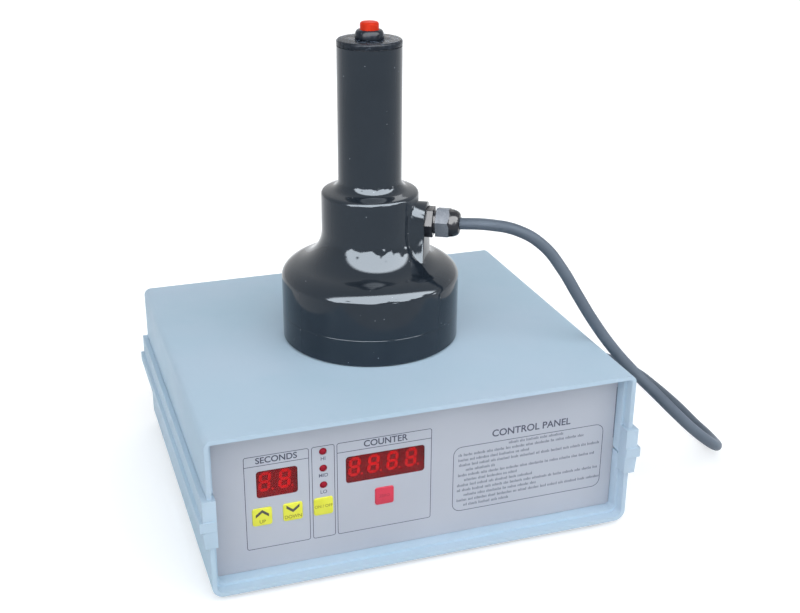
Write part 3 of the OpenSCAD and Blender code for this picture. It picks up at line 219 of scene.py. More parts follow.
def panel_film():
    finish = Finish("panel_film")
    finish.paint(colour(166, 170, 180), colour(172, 176, 185), scale=14, detail=3)
    finish.gloss(0.40, 0.50, scale=30)
    finish.relief(scale=2200, depth=0.01 * MM)
    finish.set(IOR=1.3)
    return finish.material


def panel_plate():
    finish = Finish("panel_plate")
    finish.paint(colour(178, 180, 190), colour(186, 187, 196), scale=14, detail=3)
    finish.gloss(0.40, 0.50, scale=30)
    finish.relief(scale=1600, depth=0.02 * MM)
    return finish.material


def head_black():
    """Glossy black plastic with specks of dust."""
    finish = Finish("head_black")
    tone = finish.paint(colour(27, 34, 42), colour(32, 39, 47), scale=25, detail=3)
    dust = finish.specks(scale=150, size=0.05)
    finish.link(finish.mix(dust, tone, colour(150, 156, 165)), "Base Color")
    finish.gloss(0.05, 0.10, scale=55, detail=3)
    finish.relief(scale=70, depth=0.01 * MM)
    finish.set(IOR=1.41, Specular_Tint=colour(232, 244, 255))
    return finish.material


def cap_black():
    """The handle's cap and the button's rim, scuffed dull by hands."""
    finish = Finish("cap_black")
    tone = finish.paint(colour(26, 32, 40), colour(34, 41, 50), scale=260, detail=5)
    scuff = finish.spread(finish.noise(scale=420, detail=5), 0.62, 0.76, 0.0, 0.5)
    finish.link(finish.mix(scuff, tone, colour(104, 112, 124)), "Base Color")
    finish.gloss(0.14, 0.40, scale=300, detail=4)
    finish.relief(scale=520, depth=0.06 * MM, detail=4)
    finish.set(IOR=1.22)
    return finish.material


def window_red():
    finish = Finish("window_red", roughness=0.08)
    finish.paint(colour(176, 34, 46), colour(166, 28, 42), scale=60)
    finish.relief(scale=120, depth=0.01 * MM)
    finish.set(Transmission_Weight=0.9, IOR=1.3)
    return finish.material


def segment_red():
    finish = Finish("segment_red", roughness=0.4)
    tone = finish.paint(colour(226, 46, 34), colour(236, 58, 42), scale=300)
    finish.link(tone, "Emission Color")
    finish.set(Emission_Strength=0.55)
    return finish.material


def display_black():
    """The face of a display, with a painted glow that lights it a little behind its red window."""
    finish = Finish("display_black", roughness=0.5)
    tone = finish.paint(colour(108, 26, 38), colour(96, 20, 32), scale=120)
    finish.link(tone, "Emission Color")
    # Painted glow: the face itself gives no light
    finish.set(Emission_Strength=0.36)
    finish.relief(scale=900, depth=0.02 * MM)
    return finish.material


def led_red():
    finish = Finish("led_red", roughness=0.6)
    finish.paint(colour(134, 20, 38), colour(120, 17, 32), scale=250)
    finish.relief(scale=1200, depth=0.02 * MM)
    finish.set(IOR=1.2)
    return finish.material


def key_top(name, first, second):
    finish = Finish(name)
    finish.paint(first, second, scale=120)
    finish.gloss(0.36, 0.44, scale=200)
    finish.relief(scale=1800, depth=0.02 * MM)
    return finish.material


# Brush marks on metal are this much finer along Y
BRUSH = (1, 12, 1)
BRUSH_RELIEF = (1, 10, 1)


def brushed(name, first, second, roughness):
    finish = Finish(name, roughness, metallic=1.0)
    finish.paint(first, second, scale=60, detail=3, stretch=BRUSH)
    finish.gloss(roughness - 0.07, roughness + 0.07, scale=90, detail=3, stretch=BRUSH)
    finish.relief(scale=700, depth=0.01 * MM, stretch=BRUSH_RELIEF)
    return finish.material


def board_green():
    finish = Finish("board_green", roughness=0.35)
    finish.paint(colour(20, 84, 52), colour(32, 104, 62), scale=160, detail=4)
    finish.relief(scale=500, depth=0.03 * MM)
    return finish.material


def copper():
    finish = Finish("copper", roughness=0.32, metallic=0.9)
    finish.paint(colour(182, 104, 58), colour(198, 122, 70), scale=90, detail=3)
    finish.relief(scale=420, depth=0.08 * MM)
    return finish.material


def cable_grey():
    finish = Finish("cable_grey")
    finish.paint(colour(76, 85, 96), colour(88, 97, 108), scale=30, detail=4)
    finish.gloss(0.50, 0.62, scale=45)
    finish.relief(scale=1100, depth=0.04 * MM)
    finish.set(IOR=1.25)
    return finish.material


def gland_black():
    finish = Finish("gland_black")
    finish.paint(colour(30, 32, 38), colour(38, 40, 46), scale=70, detail=3)
    finish.gloss(0.14, 0.22, scale=90)
    finish.relief(scale=300, depth=0.03 * MM)
    finish.set(IOR=1.36)
    return finish.material


def gland_grip():
    """The flats of a gland's nut, dull and rough for the fingers."""
    finish = Finish("gland_grip")
    finish.paint(colour(74, 79, 87), colour(92, 98, 106), scale=900, detail=3)
    finish.gloss(0.5, 0.62, scale=300)
    finish.relief(scale=1600, depth=0.08 * MM)
    return finish.material


def print_ink(name, first, second):
    finish = Finish(name, roughness=0.55)
    finish.paint(first, second, scale=400)
    return finish.material


FINISHES = {
    "case_plastic": case_plastic(),
    "panel_plate": panel_plate(),
    "panel_film": panel_film(),
    "window_red": window_red(),
    "display_black": display_black(),
    "segment_red": segment_red(),
    "led_red": led_red(),
    "key_yellow": key_top("key_yellow", colour(206, 206, 50), colour(212, 212, 60)),
    "key_red": key_top("key_red", colour(176, 32, 58), colour(184, 38, 64)),
    "board_green": board_green(),
    "component_black": moulded("component_black", colour(26, 26, 28), colour(34, 34, 36), 0.5),
    "fan_black": moulded("fan_black", colour(24, 24, 26), colour(32, 32, 34), 0.45),
    "steel": brushed("steel", colour(186, 188, 192), colour(200, 202, 206), 0.3),
    "inlet_black": moulded("inlet_black", colour(22, 22, 24), colour(30, 30, 32), 0.4),
    "pin_metal": brushed("pin_metal", colour(206, 206, 204), colour(218, 217, 212), 0.22),
    "rocker_red": moulded(
        "rocker_red", colour(176, 24, 22), colour(188, 30, 26), 0.22, grain=300, depth=0.01 * MM
    ),
    "gland_black": gland_black(),
    "seal_rubber": moulded("seal_rubber", colour(24, 24, 25), colour(34, 34, 35), 0.7),
    "aluminium": brushed("aluminium", colour(198, 200, 203), colour(210, 211, 214), 0.36),
    "capacitor_blue": moulded("capacitor_blue", colour(32, 44, 88), colour(40, 52, 98), 0.3),
    "film_red": moulded("film_red", colour(172, 44, 34), colour(184, 54, 42), 0.28),
    "ferrite": moulded("ferrite", colour(52, 52, 54), colour(64, 64, 66), 0.55),
    "winding_tape": moulded("winding_tape", colour(206, 172, 54), colour(218, 186, 66), 0.35),
    "copper": copper(),
    "former_white": moulded("former_white", colour(222, 216, 198), colour(230, 224, 208), 0.5),
    "head_black": head_black(),
    "button_red": moulded(
        "button_red", colour(196, 44, 20), colour(204, 52, 27), 0.42, grain=400, depth=0.02 * MM, ior=1.15
    ),
    "cable_grey": cable_grey(),
}
CAP_BLACK = cap_black()
GLAND_GRIP = gland_grip()
INK = print_ink("panel_ink", colour(46, 50, 66), colour(54, 58, 74))
FINE_INK = print_ink("fine_ink", colour(72, 76, 92), colour(82, 86, 102))
KEY_INK = print_ink("key_ink", colour(20, 20, 18), colour(28, 28, 26))
OLIVE_INK = print_ink("olive_ink", colour(122, 120, 30), colour(130, 128, 38))
FAINT_INK = print_ink("faint_ink", colour(132, 24, 46), colour(142, 30, 52))
PALE_INK = print_ink("pale_ink", colour(226, 224, 220), colour(234, 232, 228))

for name, node in frame["nodes"].items():
    node.data.materials.clear()
    node.data.materials.append(FINISHES[SLOT_OF[name]])


# Ways of making a piece
JOIN_REACH = 0.001 * MM
FLAT_ANGLE = 0.4
EDGE_ANGLE = 32
EDGE_SEGMENTS = 2


def finished(name, bm, material, body=MACHINE, slot=None, smooth=True):
    """Turns a bmesh into a piece that rides on a body."""
    for face in bm.faces:
        face.smooth = smooth
    mesh = bpy.data.meshes.new(name)
    bm.to_mesh(mesh)
    bm.free()
    mesh.materials.append(material)
    piece = bpy.data.objects.new(name, mesh)
    bpy.context.scene.collection.objects.link(piece)
    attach(piece, body)
    return piece


def copy_of(node):
    """A bmesh of a node, with its loose triangles joined."""
    bm = bmesh.new()
    bm.from_mesh(frame["nodes"][node].data)
    bmesh.ops.remove_doubles(bm, verts=bm.verts, dist=JOIN_REACH)
    return bm


def merge_flats(bm, angle=FLAT_ANGLE):
    """Makes one face of the triangles that lie in one plane."""
    bmesh.ops.dissolve_limit(bm, angle_limit=math.radians(angle), verts=bm.verts, edges=bm.edges)


def stand_in(node, suffix, bm, finish=None):
    """Turns a changed copy of a node into the piece that shows in its place."""
    slot = SLOT_OF[node]
    piece = finished(node + suffix, bm, finish or FINISHES[slot], BODY_OF[node], slot)
    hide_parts(node)
    return piece


def soften_edges(piece, width):
    bevel = piece.modifiers.new("rounded_edges", "BEVEL")
    bevel.width = width
    bevel.segments = EDGE_SEGMENTS
    bevel.limit_method = "ANGLE"
    bevel.angle_limit = math.radians(EDGE_ANGLE)
    bevel.harden_normals = True


def softened(node, width, finish=None):
    """A copy of a node with its edges rounded, as moulding or tumbling leaves them."""
    bm = copy_of(node)
    merge_flats(bm)
    piece = stand_in(node, "_rounded", bm, finish)
    soften_edges(piece, width)
    return piece


NUT_FLATS = 6
NUT_EDGE = 0.25 * MM


def ribbed_nut(node):
    """A gland's nut: dull flats for the fingers and a plain black rounded end."""
    bm = copy_of(node)
    merge_flats(bm)
    largest_first = sorted(bm.faces, key=lambda face: -face.calc_area())
    for face in largest_first[:NUT_FLATS]:
        face.material_index = 1
    piece = stand_in(node, "_ribbed", bm)
    piece.data.materials.append(GLAND_GRIP)
    soften_edges(piece, NUT_EDGE)
    return piece


# The cable, from the mouth of the head's gland to the mouth of the rear gland
CABLE_D = 8 * MM
HEAD_MOUTH = (53.06, -33.5, 201.5)
REAR_MOUTH = (90, 134.7, 60)
CABLE_ROUTE = [
    (70, -43, 202), (89, -50, 198), (106, -55, 187), (119, -60, 170), (130, -64, 151), (142, -68, 131),
    (155, -73, 112), (170, -78, 94), (186, -84, 77), (202, -89, 60), (217, -92, 45), (232, -91, 32),
    (247, -81, 20), (258, -63, 11), (265, -41, 6), (268, -18, 4), (270, 5, 4), (271, 28, 4),
    (271, 51, 4), (270, 74, 4), (265, 97, 4), (256, 118, 4), (243, 138, 4), (227, 156, 4),
    (209, 171, 4), (189, 182, 4), (167, 190, 4), (145, 194, 8), (124, 192, 19), (107, 186, 34),
    (95, 174, 48), (90, 156, 58),
]
CABLE_STEPS = 6
GLAND_EDGE = 0.4 * MM


def make_cable():
    points = [Vector(p) * MM for p in [HEAD_MOUTH, *CABLE_ROUTE, REAR_MOUTH]]
    curve = bpy.data.curves.new("cable", "CURVE")
    curve.dimensions = "3D"
    curve.bevel_depth = CABLE_D / 2
    curve.bevel_resolution = CABLE_STEPS
    curve.resolution_u = CABLE_STEPS
    spline = curve.splines.new("BEZIER")
    spline.bezier_points.add(len(points) - 1)
    for knot, point in zip(spline.bezier_points, points):
        knot.co = point
        knot.handle_left_type = "AUTO"
        knot.handle_right_type = "AUTO"
    curve.materials.append(FINISHES["cable_grey"])
    cable = bpy.data.objects.new("cable", curve)
    bpy.context.scene.collection.objects.link(cable)
    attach(cable, MACHINE)
    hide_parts("head_cable")
    return cable


cable = make_cable()
rear_gland = [softened("rear_gland_body", GLAND_EDGE), ribbed_nut("rear_gland_nut")]


# Floor and light
FLOOR_HALF = 12.0
FLOOR_TONE = (0.8, 0.8, 0.8, 1)
FLOOR_ROUGHNESS = 0.9
FLOOR_GLOW = 0.34

# The studio: light from its pale walls and from its window, and how bright gloss shows the window.
# The window's sill is a height and its head a distance forwards, both as shares of a unit direction.
# A skyline outside it makes its lower edge uneven.
WALL_TONE = (0.94, 0.97, 1.0, 1)
WALL_LIGHT = 0.58
WHITE = (1, 1, 1, 1)
WINDOW_LIGHT = 1.5
WINDOW_GLARE = 17.0
WINDOW_SILL = (0.16, 0.30)
WINDOW_HEAD = (-0.20, -0.34)
SKYLINE_SCALE = 3.4
SKYLINE_DETAIL = 0.6
SKYLINE_RISE = 1.8

REAR_LIGHT_AT = (0.45, 1.10, 1.35)
REAR_LIGHT_SIZE = (0.8, 0.45)
REAR_LIGHT_WATTS = 2.5
LIT_HEIGHT = 0.18


def worked_out(tree, operation, *values):
    """The result of a math node whose inputs are sockets or plain numbers."""
    node = tree.nodes.new("ShaderNodeMath")
    node.operation = operation
    for socket, value in zip(node.inputs, values):
        if isinstance(value, float):
            socket.default_value = value
        else:
            tree.links.new(value, socket)
    return node.outputs["Value"]


def camera_sees(tree):
    """1 for rays that show the background: from the camera, by reflection and through glass."""
    path = tree.nodes.new("ShaderNodeLightPath").outputs
    plain = worked_out(tree, "MAXIMUM", path["Is Camera Ray"], path["Is Glossy Ray"])
    return worked_out(tree, "MAXIMUM", plain, path["Is Transmission Ray"])


def floor_material():
    material = bpy.data.materials.new("floor")
    material.use_nodes = True
    material.cycles.emission_sampling = "NONE"
    tree = material.node_tree
    shader = tree.nodes["Principled BSDF"]
    shader.inputs["Base Color"].default_value = FLOOR_TONE
    shader.inputs["Roughness"].default_value = FLOOR_ROUGHNESS
    shader.inputs["Specular IOR Level"].default_value = 0.0
    glow = tree.nodes.new("ShaderNodeEmission")
    level = worked_out(tree, "MULTIPLY", camera_sees(tree), FLOOR_GLOW)
    tree.links.new(level, glow.inputs["Strength"])
    total = tree.nodes.new("ShaderNodeAddShader")
    tree.links.new(shader.outputs["BSDF"], total.inputs[0])
    tree.links.new(glow.outputs["Emission"], total.inputs[1])
    tree.links.new(total.outputs["Shader"], tree.nodes["Material Output"].inputs["Surface"])
    return material


def make_floor():
    bm = bmesh.new()
    bmesh.ops.create_grid(bm, x_segments=1, y_segments=1, size=FLOOR_HALF)
    mesh = bpy.data.meshes.new("floor")
    bm.to_mesh(mesh)
    bm.free()
    mesh.materials.append(floor_material())
    floor = bpy.data.objects.new("floor", mesh)
    bpy.context.scene.collection.objects.link(floor)


def soft_step(tree, value, start, end):
    """0 before the start, 1 past the end and a smooth rise between them."""
    edge = tree.nodes.new("ShaderNodeMapRange")
    edge.interpolation_type = "SMOOTHSTEP"
    edge.inputs["From Min"].default_value = start
    edge.inputs["From Max"].default_value = end
    tree.links.new(value, edge.inputs["Value"])
    return edge.outputs["Result"]


def window_share(tree):
    """1 towards a wide studio window high in front of the machine, 0 away from it."""
    direction = tree.nodes.new("ShaderNodeTexCoord").outputs["Generated"]
    split = tree.nodes.new("ShaderNodeSeparateXYZ")
    tree.links.new(direction, split.inputs["Vector"])
    skyline = tree.nodes.new("ShaderNodeTexNoise")
    skyline.inputs["Scale"].default_value = SKYLINE_SCALE
    skyline.inputs["Detail"].default_value = SKYLINE_DETAIL
    tree.links.new(direction, skyline.inputs["Vector"])
    lowered = worked_out(tree, "MULTIPLY_ADD", skyline.outputs["Fac"], -SKYLINE_RISE, split.outputs["Z"])
    height = worked_out(tree, "ADD", lowered, SKYLINE_RISE / 2)
    above_sill = soft_step(tree, height, *WINDOW_SILL)
    below_head = soft_step(tree, split.outputs["Y"], *WINDOW_HEAD)
    return worked_out(tree, "MULTIPLY", above_sill, below_head)


def make_world():
    """Pale walls with a window: plain white to the camera, bright where gloss mirrors the window."""
    world = bpy.data.worlds.new("studio")
    bpy.context.scene.world = world
    world.use_nodes = True
    world.cycles.sampling_method = "NONE"
    tree = world.node_tree
    window = window_share(tree)
    soft = tree.nodes["Background"]
    soft.inputs["Color"].default_value = WALL_TONE
    light = worked_out(tree, "MULTIPLY_ADD", window, WINDOW_LIGHT, WALL_LIGHT)
    tree.links.new(light, soft.inputs["Strength"])
    white = tree.nodes.new("ShaderNodeBackground")
    white.inputs["Color"].default_value = WHITE
    glare = worked_out(tree, "MULTIPLY_ADD", window, WINDOW_GLARE, 1.0)
    tree.links.new(glare, white.inputs["Strength"])
    choose = tree.nodes.new("ShaderNodeMixShader")
    tree.links.new(camera_sees(tree), choose.inputs["Fac"])
    tree.links.new(soft.outputs["Background"], choose.inputs[1])
    tree.links.new(white.outputs["Background"], choose.inputs[2])
    tree.links.new(choose.outputs["Shader"], tree.nodes["World Output"].inputs["Surface"])


def make_rear_light():
    """A soft box high behind the machine, aimed at the head."""
    data = bpy.data.lights.new("rear_light", "AREA")
    data.shape = "RECTANGLE"
    data.size, data.size_y = REAR_LIGHT_SIZE
    data.energy = REAR_LIGHT_WATTS
    lamp = bpy.data.objects.new("rear_light", data)
    aim = Vector((*HEAD_AXIS, LIT_HEIGHT)) - Vector(REAR_LIGHT_AT)
    turn = aim.to_track_quat("-Z", "Y").to_matrix().to_4x4()
    lamp.matrix_world = Matrix.Translation(REAR_LIGHT_AT) @ turn
    bpy.context.scene.collection.objects.link(lamp)


make_floor()
make_world()
make_rear_light()
bpy.context.scene.view_settings.view_transform = "Standard"


# Rounded edges on the moulded and pressed pieces, in millimetres
SOFT_EDGES = {
    "top_shell": 0.7, "bottom_shell": 0.7, "left_side_strip": 0.5, "right_side_strip": 0.5,
    "trigger_button": 0.5, "rubber_feet": 0.4,
    "key_increase": 0.25, "key_reduce": 0.25, "key_power": 0.25, "key_reset": 0.25,
    "time_window": 0.3, "count_window": 0.3,
    "fan_frame": 0.4, "fan_guard": 0.45, "fan_rotor": 0.2,
    "power_inlet": 0.4, "inlet_pins": 0.4, "rocker_frame": 0.3, "rocker_switch": 0.4,
}
CAP_EDGE = 0.3 * MM

for node, width in SOFT_EDGES.items():
    softened(node, width * MM)
for node in ("handle_cap", "button_housing"):
    softened(node, CAP_EDGE, finish=CAP_BLACK)
softened("head_gland_body", GLAND_EDGE)
ribbed_nut("head_gland_nut")


# The head and its bottom cap, which mirror the studio
HEAD_SHARP = 30
CAP_SHARP = 10
SEAM_EDGE = 0.3 * MM
RIM_ANGLE = 60
RIM_DEPTH = 0.1 * MM


def smoothed(node, angle, shape=None):
    """A copy of a node whose curved faces shade as one, with sharp edges only past an angle."""
    bm = copy_of(node)
    if shape:
        shape(bm)
    piece = stand_in(node, "_smooth", bm)
    piece.data.set_sharp_from_angle(angle=math.radians(angle))


def rounded_rim(bm):
    """Rounds the upper rim of the bottom cap, where its seam with the head shows."""
    merge_flats(bm)
    inner = HEAD_R - RIM_DEPTH
    rim = [
        edge for edge in bm.edges
        if edge.calc_face_angle(0) > math.radians(RIM_ANGLE)
        and all((vert.co.xy - HEAD_AXIS).length > inner for vert in edge.verts)
    ]
    bmesh.ops.bevel(
        bm, geom=rim, offset=SEAM_EDGE, affect="EDGES", segments=EDGE_SEGMENTS,
        profile=0.5, material=-1, clamp_overlap=True,
    )


smoothed("head_body", HEAD_SHARP)
smoothed("head_base_cap", CAP_SHARP, rounded_rim)


def squeezed_spring():
    """The button's spring, as a copy of its node with a mesh of its own."""
    node = "button_spring"
    low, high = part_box(node)
    length = high.z - low.z
    foot = middle_of(node) - Vector((0, 0, length / 2))
    piece = stand_in(node, "_coil", copy_of(node))
    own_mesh(piece)


squeezed_spring()


# Caps on the ends of the grip lips of the side strips
LIP_RISE = 12.1 * MM
LIP_H = 7.2 * MM
LIP_W = 10.8 * MM
LIP_PROUD = 0.8 * MM
LIP_SEAT = 0.6 * MM
LIP_EDGE = 0.3 * MM


def lip_ends():
    total = bmesh.new()
    size = Matrix.Diagonal((LIP_W, LIP_PROUD + LIP_SEAT, LIP_H, 1))
    for node, side in (("left_side_strip", -1), ("right_side_strip", 1)):
        low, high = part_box(node)
        outer_x = high.x if side > 0 else low.x
        x = outer_x - side * LIP_W / 2
        z = low.z + LIP_RISE + LIP_H / 2
        for end_y, way in ((low.y, -1), (high.y, 1)):
            y = end_y + way * (LIP_PROUD - LIP_SEAT) / 2
            bmesh.ops.create_cube(total, size=1, matrix=Matrix.Translation((x, y, z)) @ size)
    piece = finished("strip_lip_ends", total, FINISHES["case_plastic"], MACHINE, "case_plastic")
    soften_edges(piece, LIP_EDGE)


lip_ends()


# Prints on the control panel, as thin layers of ink; X and Z are places on the panel in millimetres
INK_T = 0.06 * MM
LINE = 0.42
CORNER_STEPS = 5
CAPITAL_SHARE = 0.7


def on_panel(x, z, lift=0.0):
    """Lays a flat drawing made in millimetres on the face of the panel."""
    place = Matrix.Translation((x * MM, FACE_Y - lift, CASE_LOW_Z + z * MM))
    return place @ Matrix.Rotation(math.pi / 2, 4, "X") @ Matrix.Scale(MM, 4)


def rounded_face(bm, w, h, r):
    """A flat face with round corners, about the origin."""
    signs = ((-1, -1), (1, -1), (1, 1), (-1, 1))
    corners = [bm.verts.new((sx * w / 2, sy * h / 2, 0)) for sx, sy in signs]
    bm.faces.new(corners)
    if r > 0:
        bmesh.ops.bevel(
            bm, geom=corners, offset=r, affect="VERTICES", segments=CORNER_STEPS,
            profile=0.5, material=-1, clamp_overlap=True,
        )


def ink_frame(w, h, r, line=LINE):
    """The outline of a box with round corners."""
    bm = bmesh.new()
    rounded_face(bm, w, h, r)
    inner = list(bm.faces)
    bmesh.ops.inset_region(bm, faces=inner, thickness=line, use_even_offset=True, use_boundary=True)
    bmesh.ops.delete(bm, geom=inner, context="FACES")
    return bm


def ink_bar(w, h):
    bm = bmesh.new()
    rounded_face(bm, w, h, 0)
    return bm


def ink_words(text, height, weight):
    """Lettering as a flat mesh, about the origin: the height of its capitals and how much they swell."""
    data = bpy.data.curves.new("lettering", "FONT")
    data.body = text
    data.size = height / CAPITAL_SHARE
    data.align_x = "CENTER"
    data.align_y = "CENTER"
    data.offset = weight
    words = bpy.data.objects.new("lettering", data)
    bpy.context.scene.collection.objects.link(words)
    bpy.context.view_layer.update()
    mesh = bpy.data.meshes.new_from_object(words)
    bm = bmesh.new()
    bm.from_mesh(mesh)
    bpy.data.objects.remove(words)
    bpy.data.meshes.remove(mesh)
    return bm


def ink_chevron(w, h, thick):
    """A chevron pointing up."""
    bm = bmesh.new()
    outline = [(-w, -h), (0, h - thick), (w, -h), (w, thick - h), (0, h), (-w, thick - h)]
    bm.faces.new([bm.verts.new((x / 2, y / 2, 0)) for x, y in outline])
    return bm


def gather(drawings):
    """One bmesh of several flat drawings, each with its place."""
    total = bmesh.new()
    for bm, place in drawings:
        bmesh.ops.transform(bm, matrix=place, verts=bm.verts)
        mesh = bpy.data.meshes.new("drawing")
        bm.to_mesh(mesh)
        bm.free()
        total.from_mesh(mesh)
        bpy.data.meshes.remove(mesh)
    return total


def inked(name, drawings, ink, body=MACHINE):
    """A layer of ink a little proud of the surface that it is printed on."""
    bm = gather(drawings)
    bmesh.ops.recalc_face_normals(bm, faces=bm.faces)
    piece = finished(name, bm, ink, body, smooth=False)
    layer = piece.modifiers.new("ink_layer", "SOLIDIFY")
    layer.thickness = INK_T
    layer.offset = 0.0


# Boxes round the groups of controls: left, right, low, high, divider
BOX_R = 1.6
TIME_BOX = (-119.0, -77.0, 20.4, 88.2, 81.0)
LEVEL_BOX = (-75.4, -60.2, 20.4, 88.2, None)
COUNT_BOX = (-58.8, 5.6, 20.4, 88.2, 81.0)
TEXT_BOX = (21.0, 131.5, 21.2, 70.5, None)
TEXT_BOX_R = 6.0


def control_box(left, right, low, high, divider, r):
    yield ink_frame(right - left, high - low, r), on_panel((left + right) / 2, (low + high) / 2)
    if divider:
        yield ink_bar(right - left, LINE), on_panel((left + right) / 2, divider)


def box_lines():
    for box in (TIME_BOX, LEVEL_BOX, COUNT_BOX):
        yield from control_box(*box, BOX_R)
    yield from control_box(*TEXT_BOX, TEXT_BOX_R)


# Words of the panel: text, height, X and Z
TIME_X = middle_of("time_window").x / MM
COUNT_X = middle_of("count_window").x / MM
HEADING_Z = 84.5
HEADING_WEIGHT = 0.12
HEADINGS = [
    ("SECONDS", 4.2, TIME_X, HEADING_Z),
    ("COUNTER", 4.4, COUNT_X, HEADING_Z),
    ("CONTROL PANEL", 5.0, 77, 76.5),
]


def box_words():
    for text, height, x, z in HEADINGS:
        yield ink_words(text, height, HEADING_WEIGHT), on_panel(x, z)


# Words of the three level lamps, each below its own lamp: steps from the middle lamp, text
LED_X = middle_of("level_leds").x / MM
LED_MIDDLE_Z = (middle_of("level_leds").z - CASE_LOW_Z) / MM
LED_PITCH = 12.2
LEVEL_WORD_DOWN = -5.2
LEVEL_WORD_H = 2.5
LEVEL_WORD_WEIGHT = 0.06
LEVELS = [(1, "HI"), (0, "MID"), (-1, "LO")]


def level_words():
    for step, text in LEVELS:
        word = ink_words(text, LEVEL_WORD_H, LEVEL_WORD_WEIGHT)
        yield word, on_panel(LED_X, LED_MIDDLE_Z + step * LED_PITCH + LEVEL_WORD_DOWN)


# Rows of strokes: where each row starts in the text box and how long it is
PRINT_LINES = [
    (40, 30), (4, 92), (4, 48), (4.5, 101), (9.5, 21), (4, 100), (8.5, 33),
    (3.5, 51), (3.5, 102), (8.5, 54), (3.5, 98), (8.5, 30),
]
PRINT_TOP = 67.0
PRINT_PITCH = 3.85
STROKE_W = 0.4
STROKE_PITCH = 0.92
STROKE_HEIGHTS = [1.5, 1.5, 2.1, 1.5, 1.5, 1.5, 2.1, 1.5]
WORD_STROKES = [8, 4, 10, 6, 12, 3, 7, 9, 5]


def small_print():
    """Rows of short upright strokes in groups."""
    word = 0
    for row, (start, length) in enumerate(PRINT_LINES):
        x = TEXT_BOX[0] + start
        end = x + length
        while x < end:
            for stroke in range(WORD_STROKES[word % len(WORD_STROKES)]):
                h = STROKE_HEIGHTS[(stroke + word) % len(STROKE_HEIGHTS)]
                yield ink_bar(STROKE_W, h), on_panel(x, PRINT_TOP - row * PRINT_PITCH + h / 2)
                x += STROKE_PITCH
            x += STROKE_PITCH
            word += 1


BEZEL = 1.0
BEZEL_OVER = 0.1
WINDOW_R = 2.2


def window_bezels():
    """The edge of the film round each window, which rounds its corners."""
    grow = 2 * (BEZEL - BEZEL_OVER)
    for node in ("time_display", "count_display"):
        low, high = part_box(node)
        middle = middle_of(node)
        w = (high.x - low.x) / MM + grow
        h = (high.z - low.z) / MM + grow
        ring = ink_frame(w, h, WINDOW_R + BEZEL, BEZEL)
        yield ring, on_panel(middle.x / MM, (middle.z - CASE_LOW_Z) / MM)


PANEL_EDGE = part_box("panel_overlay")[1].x / MM
# A painted shadow line down the panel's right edge: its width and its low and high ends in millimetres
SHADOW_LINE_W = 0.5
SHADOW_LINE_LOW = 58.0
SHADOW_LINE_HIGH = 97.0


def painted_gap_shadow():
    """A painted shadow: the dark stripe down the upper right edge of the panel, where the gap beside it
    is shaded.
    """
    x = PANEL_EDGE - SHADOW_LINE_W / 2
    yield ink_bar(SHADOW_LINE_W, SHADOW_LINE_HIGH - SHADOW_LINE_LOW), on_panel(x, (SHADOW_LINE_LOW + SHADOW_LINE_HIGH) / 2)


inked("window_bezels", window_bezels(), FINISHES["panel_film"])
# The next layer is a painted shadow, in the fine ink's colour, where the panel's gap is shaded
inked("painted_gap_shadow", painted_gap_shadow(), FINE_INK)
inked("panel_lines", box_lines(), INK)
inked("panel_words", box_words(), INK)
inked("level_words", level_words(), FINE_INK)
inked("small_print", small_print(), INK)


# Marks on the keys, which move with them
CHEVRON = (8.6, 5.6, 4.4)
CHEVRON_UP = 2.4
WORD_DOWN = -3.6

# The words: piece, key, text, height, weight, Z from the key's middle, ink
KEY_WORDS = [
    ("increase_word", "key_increase", "UP", 2.4, 0.08, WORD_DOWN, OLIVE_INK),
    ("reduce_word", "key_reduce", "DOWN", 2.4, 0.08, WORD_DOWN, OLIVE_INK),
    ("power_word", "key_power", "ON / OFF", 2.0, 0.06, 0, OLIVE_INK),
    ("reset_word", "key_reset", "ZERO", 2.0, 0.06, 0, FAINT_INK),
]


def on_key(node, z):
    """Lays a flat drawing on the top of a key, with Z from the key's middle."""
    middle = middle_of(node)
    lift = FACE_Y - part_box(node)[0].y
    return on_panel(middle.x / MM, (middle.z - CASE_LOW_Z) / MM + z, lift)


def chevron_on(piece, node, turn):
    place = on_key(node, CHEVRON_UP) @ Matrix.Rotation(turn, 4, "Z")
    inked(piece, [(ink_chevron(*CHEVRON), place)], KEY_INK, BODY_OF[node])


chevron_on("increase_chevron", "key_increase", 0)
chevron_on("reduce_chevron", "key_reduce", math.pi)
for piece, node, text, height, weight, z, ink in KEY_WORDS:
    inked(piece, [(ink_words(text, height, weight), on_key(node, z))], ink, BODY_OF[node])


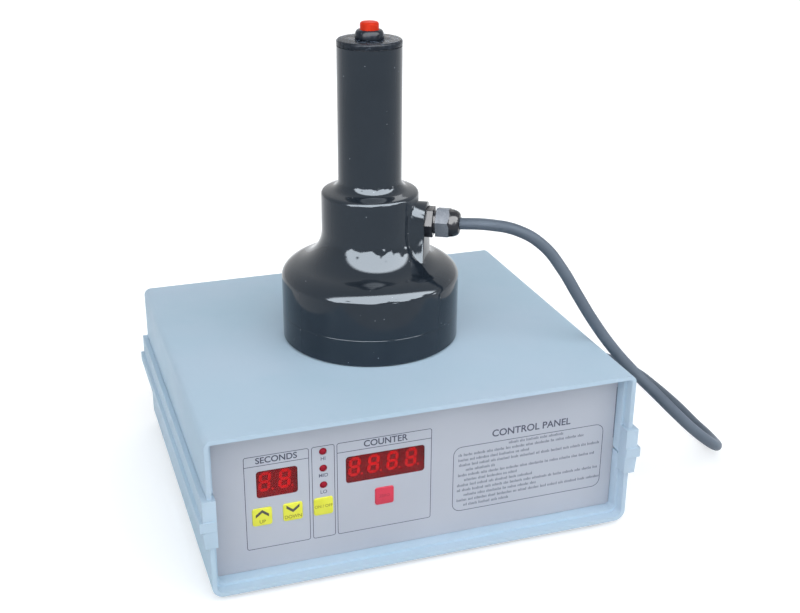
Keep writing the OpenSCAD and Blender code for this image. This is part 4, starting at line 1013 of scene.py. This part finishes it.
# Marks on the two faces of the rocker, which tilt with it
ROCKER_FLAT_ANGLE = 1
FACING_OUT = 0.8
MARK_LINE = 0.6
BAR_H = 3.0
RING_D = 3.2
RING_R = 1.55


def rocker_faces():
    """The middle and the outward direction of the rocker's upper and lower faces."""
    bm = copy_of("rocker_switch")
    merge_flats(bm, ROCKER_FLAT_ANGLE)
    outward = [face for face in bm.faces if face.normal.y > FACING_OUT]
    largest = sorted(outward, key=lambda face: face.calc_area())[-2:]
    places = [(face.calc_center_median(), face.normal.copy()) for face in largest]
    bm.free()
    return sorted(places, key=lambda place: -place[0].z)


def on_face(middle, normal):
    """Lays a flat drawing made in millimetres on a face that looks along the normal."""
    turn = normal.to_track_quat("Z", "Y").to_matrix().to_4x4()
    return Matrix.Translation(middle) @ turn @ Matrix.Scale(MM, 4)


def rocker_marks():
    upper, lower = rocker_faces()
    yield ink_bar(MARK_LINE, BAR_H), on_face(*upper)
    yield ink_frame(RING_D, RING_D, RING_R, MARK_LINE), on_face(*lower)


inked("rocker_marks", rocker_marks(), PALE_INK, BODY_OF["rocker_switch"])


# Cross recesses in the heads of the screws, as dark marks of painted shade where the recesses are shaded
CROSS_L = 3.0
CROSS_W = 0.7


def solids_of(node):
    """The lowest and highest corner of each separate solid in a node."""
    bm = copy_of(node)
    left = set(bm.verts)
    while left:
        found = set()
        edge = [left.pop()]
        while edge:
            vert = edge.pop()
            found.add(vert)
            near = {link.other_vert(vert) for link in vert.link_edges} & left
            left -= near
            edge.extend(near)
        axes = list(zip(*(vert.co for vert in found)))
        yield Vector([min(axis) for axis in axes]), Vector([max(axis) for axis in axes])
    bm.free()


def painted_shade_crosses(node, outward):
    """A cross of painted shade on the outward end of each screw, standing for its shaded recess."""
    for low, high in solids_of(node):
        reach = (high - low) / 2
        middle = (low + high) / 2 + Vector([out * half for out, half in zip(outward, reach)])
        for w, h in ((CROSS_L, CROSS_W), (CROSS_W, CROSS_L)):
            yield ink_bar(w, h), on_face(middle, Vector(outward))


# Both layers are painted shade in the key ink's colour
inked("fan_screw_painted_shade", painted_shade_crosses("fan_screws", (0, 1, 0)), KEY_INK, BODY_OF["fan_screws"])
inked("case_screw_painted_shade", painted_shade_crosses("case_screws", (0, 0, -1)), KEY_INK, BODY_OF["case_screws"])
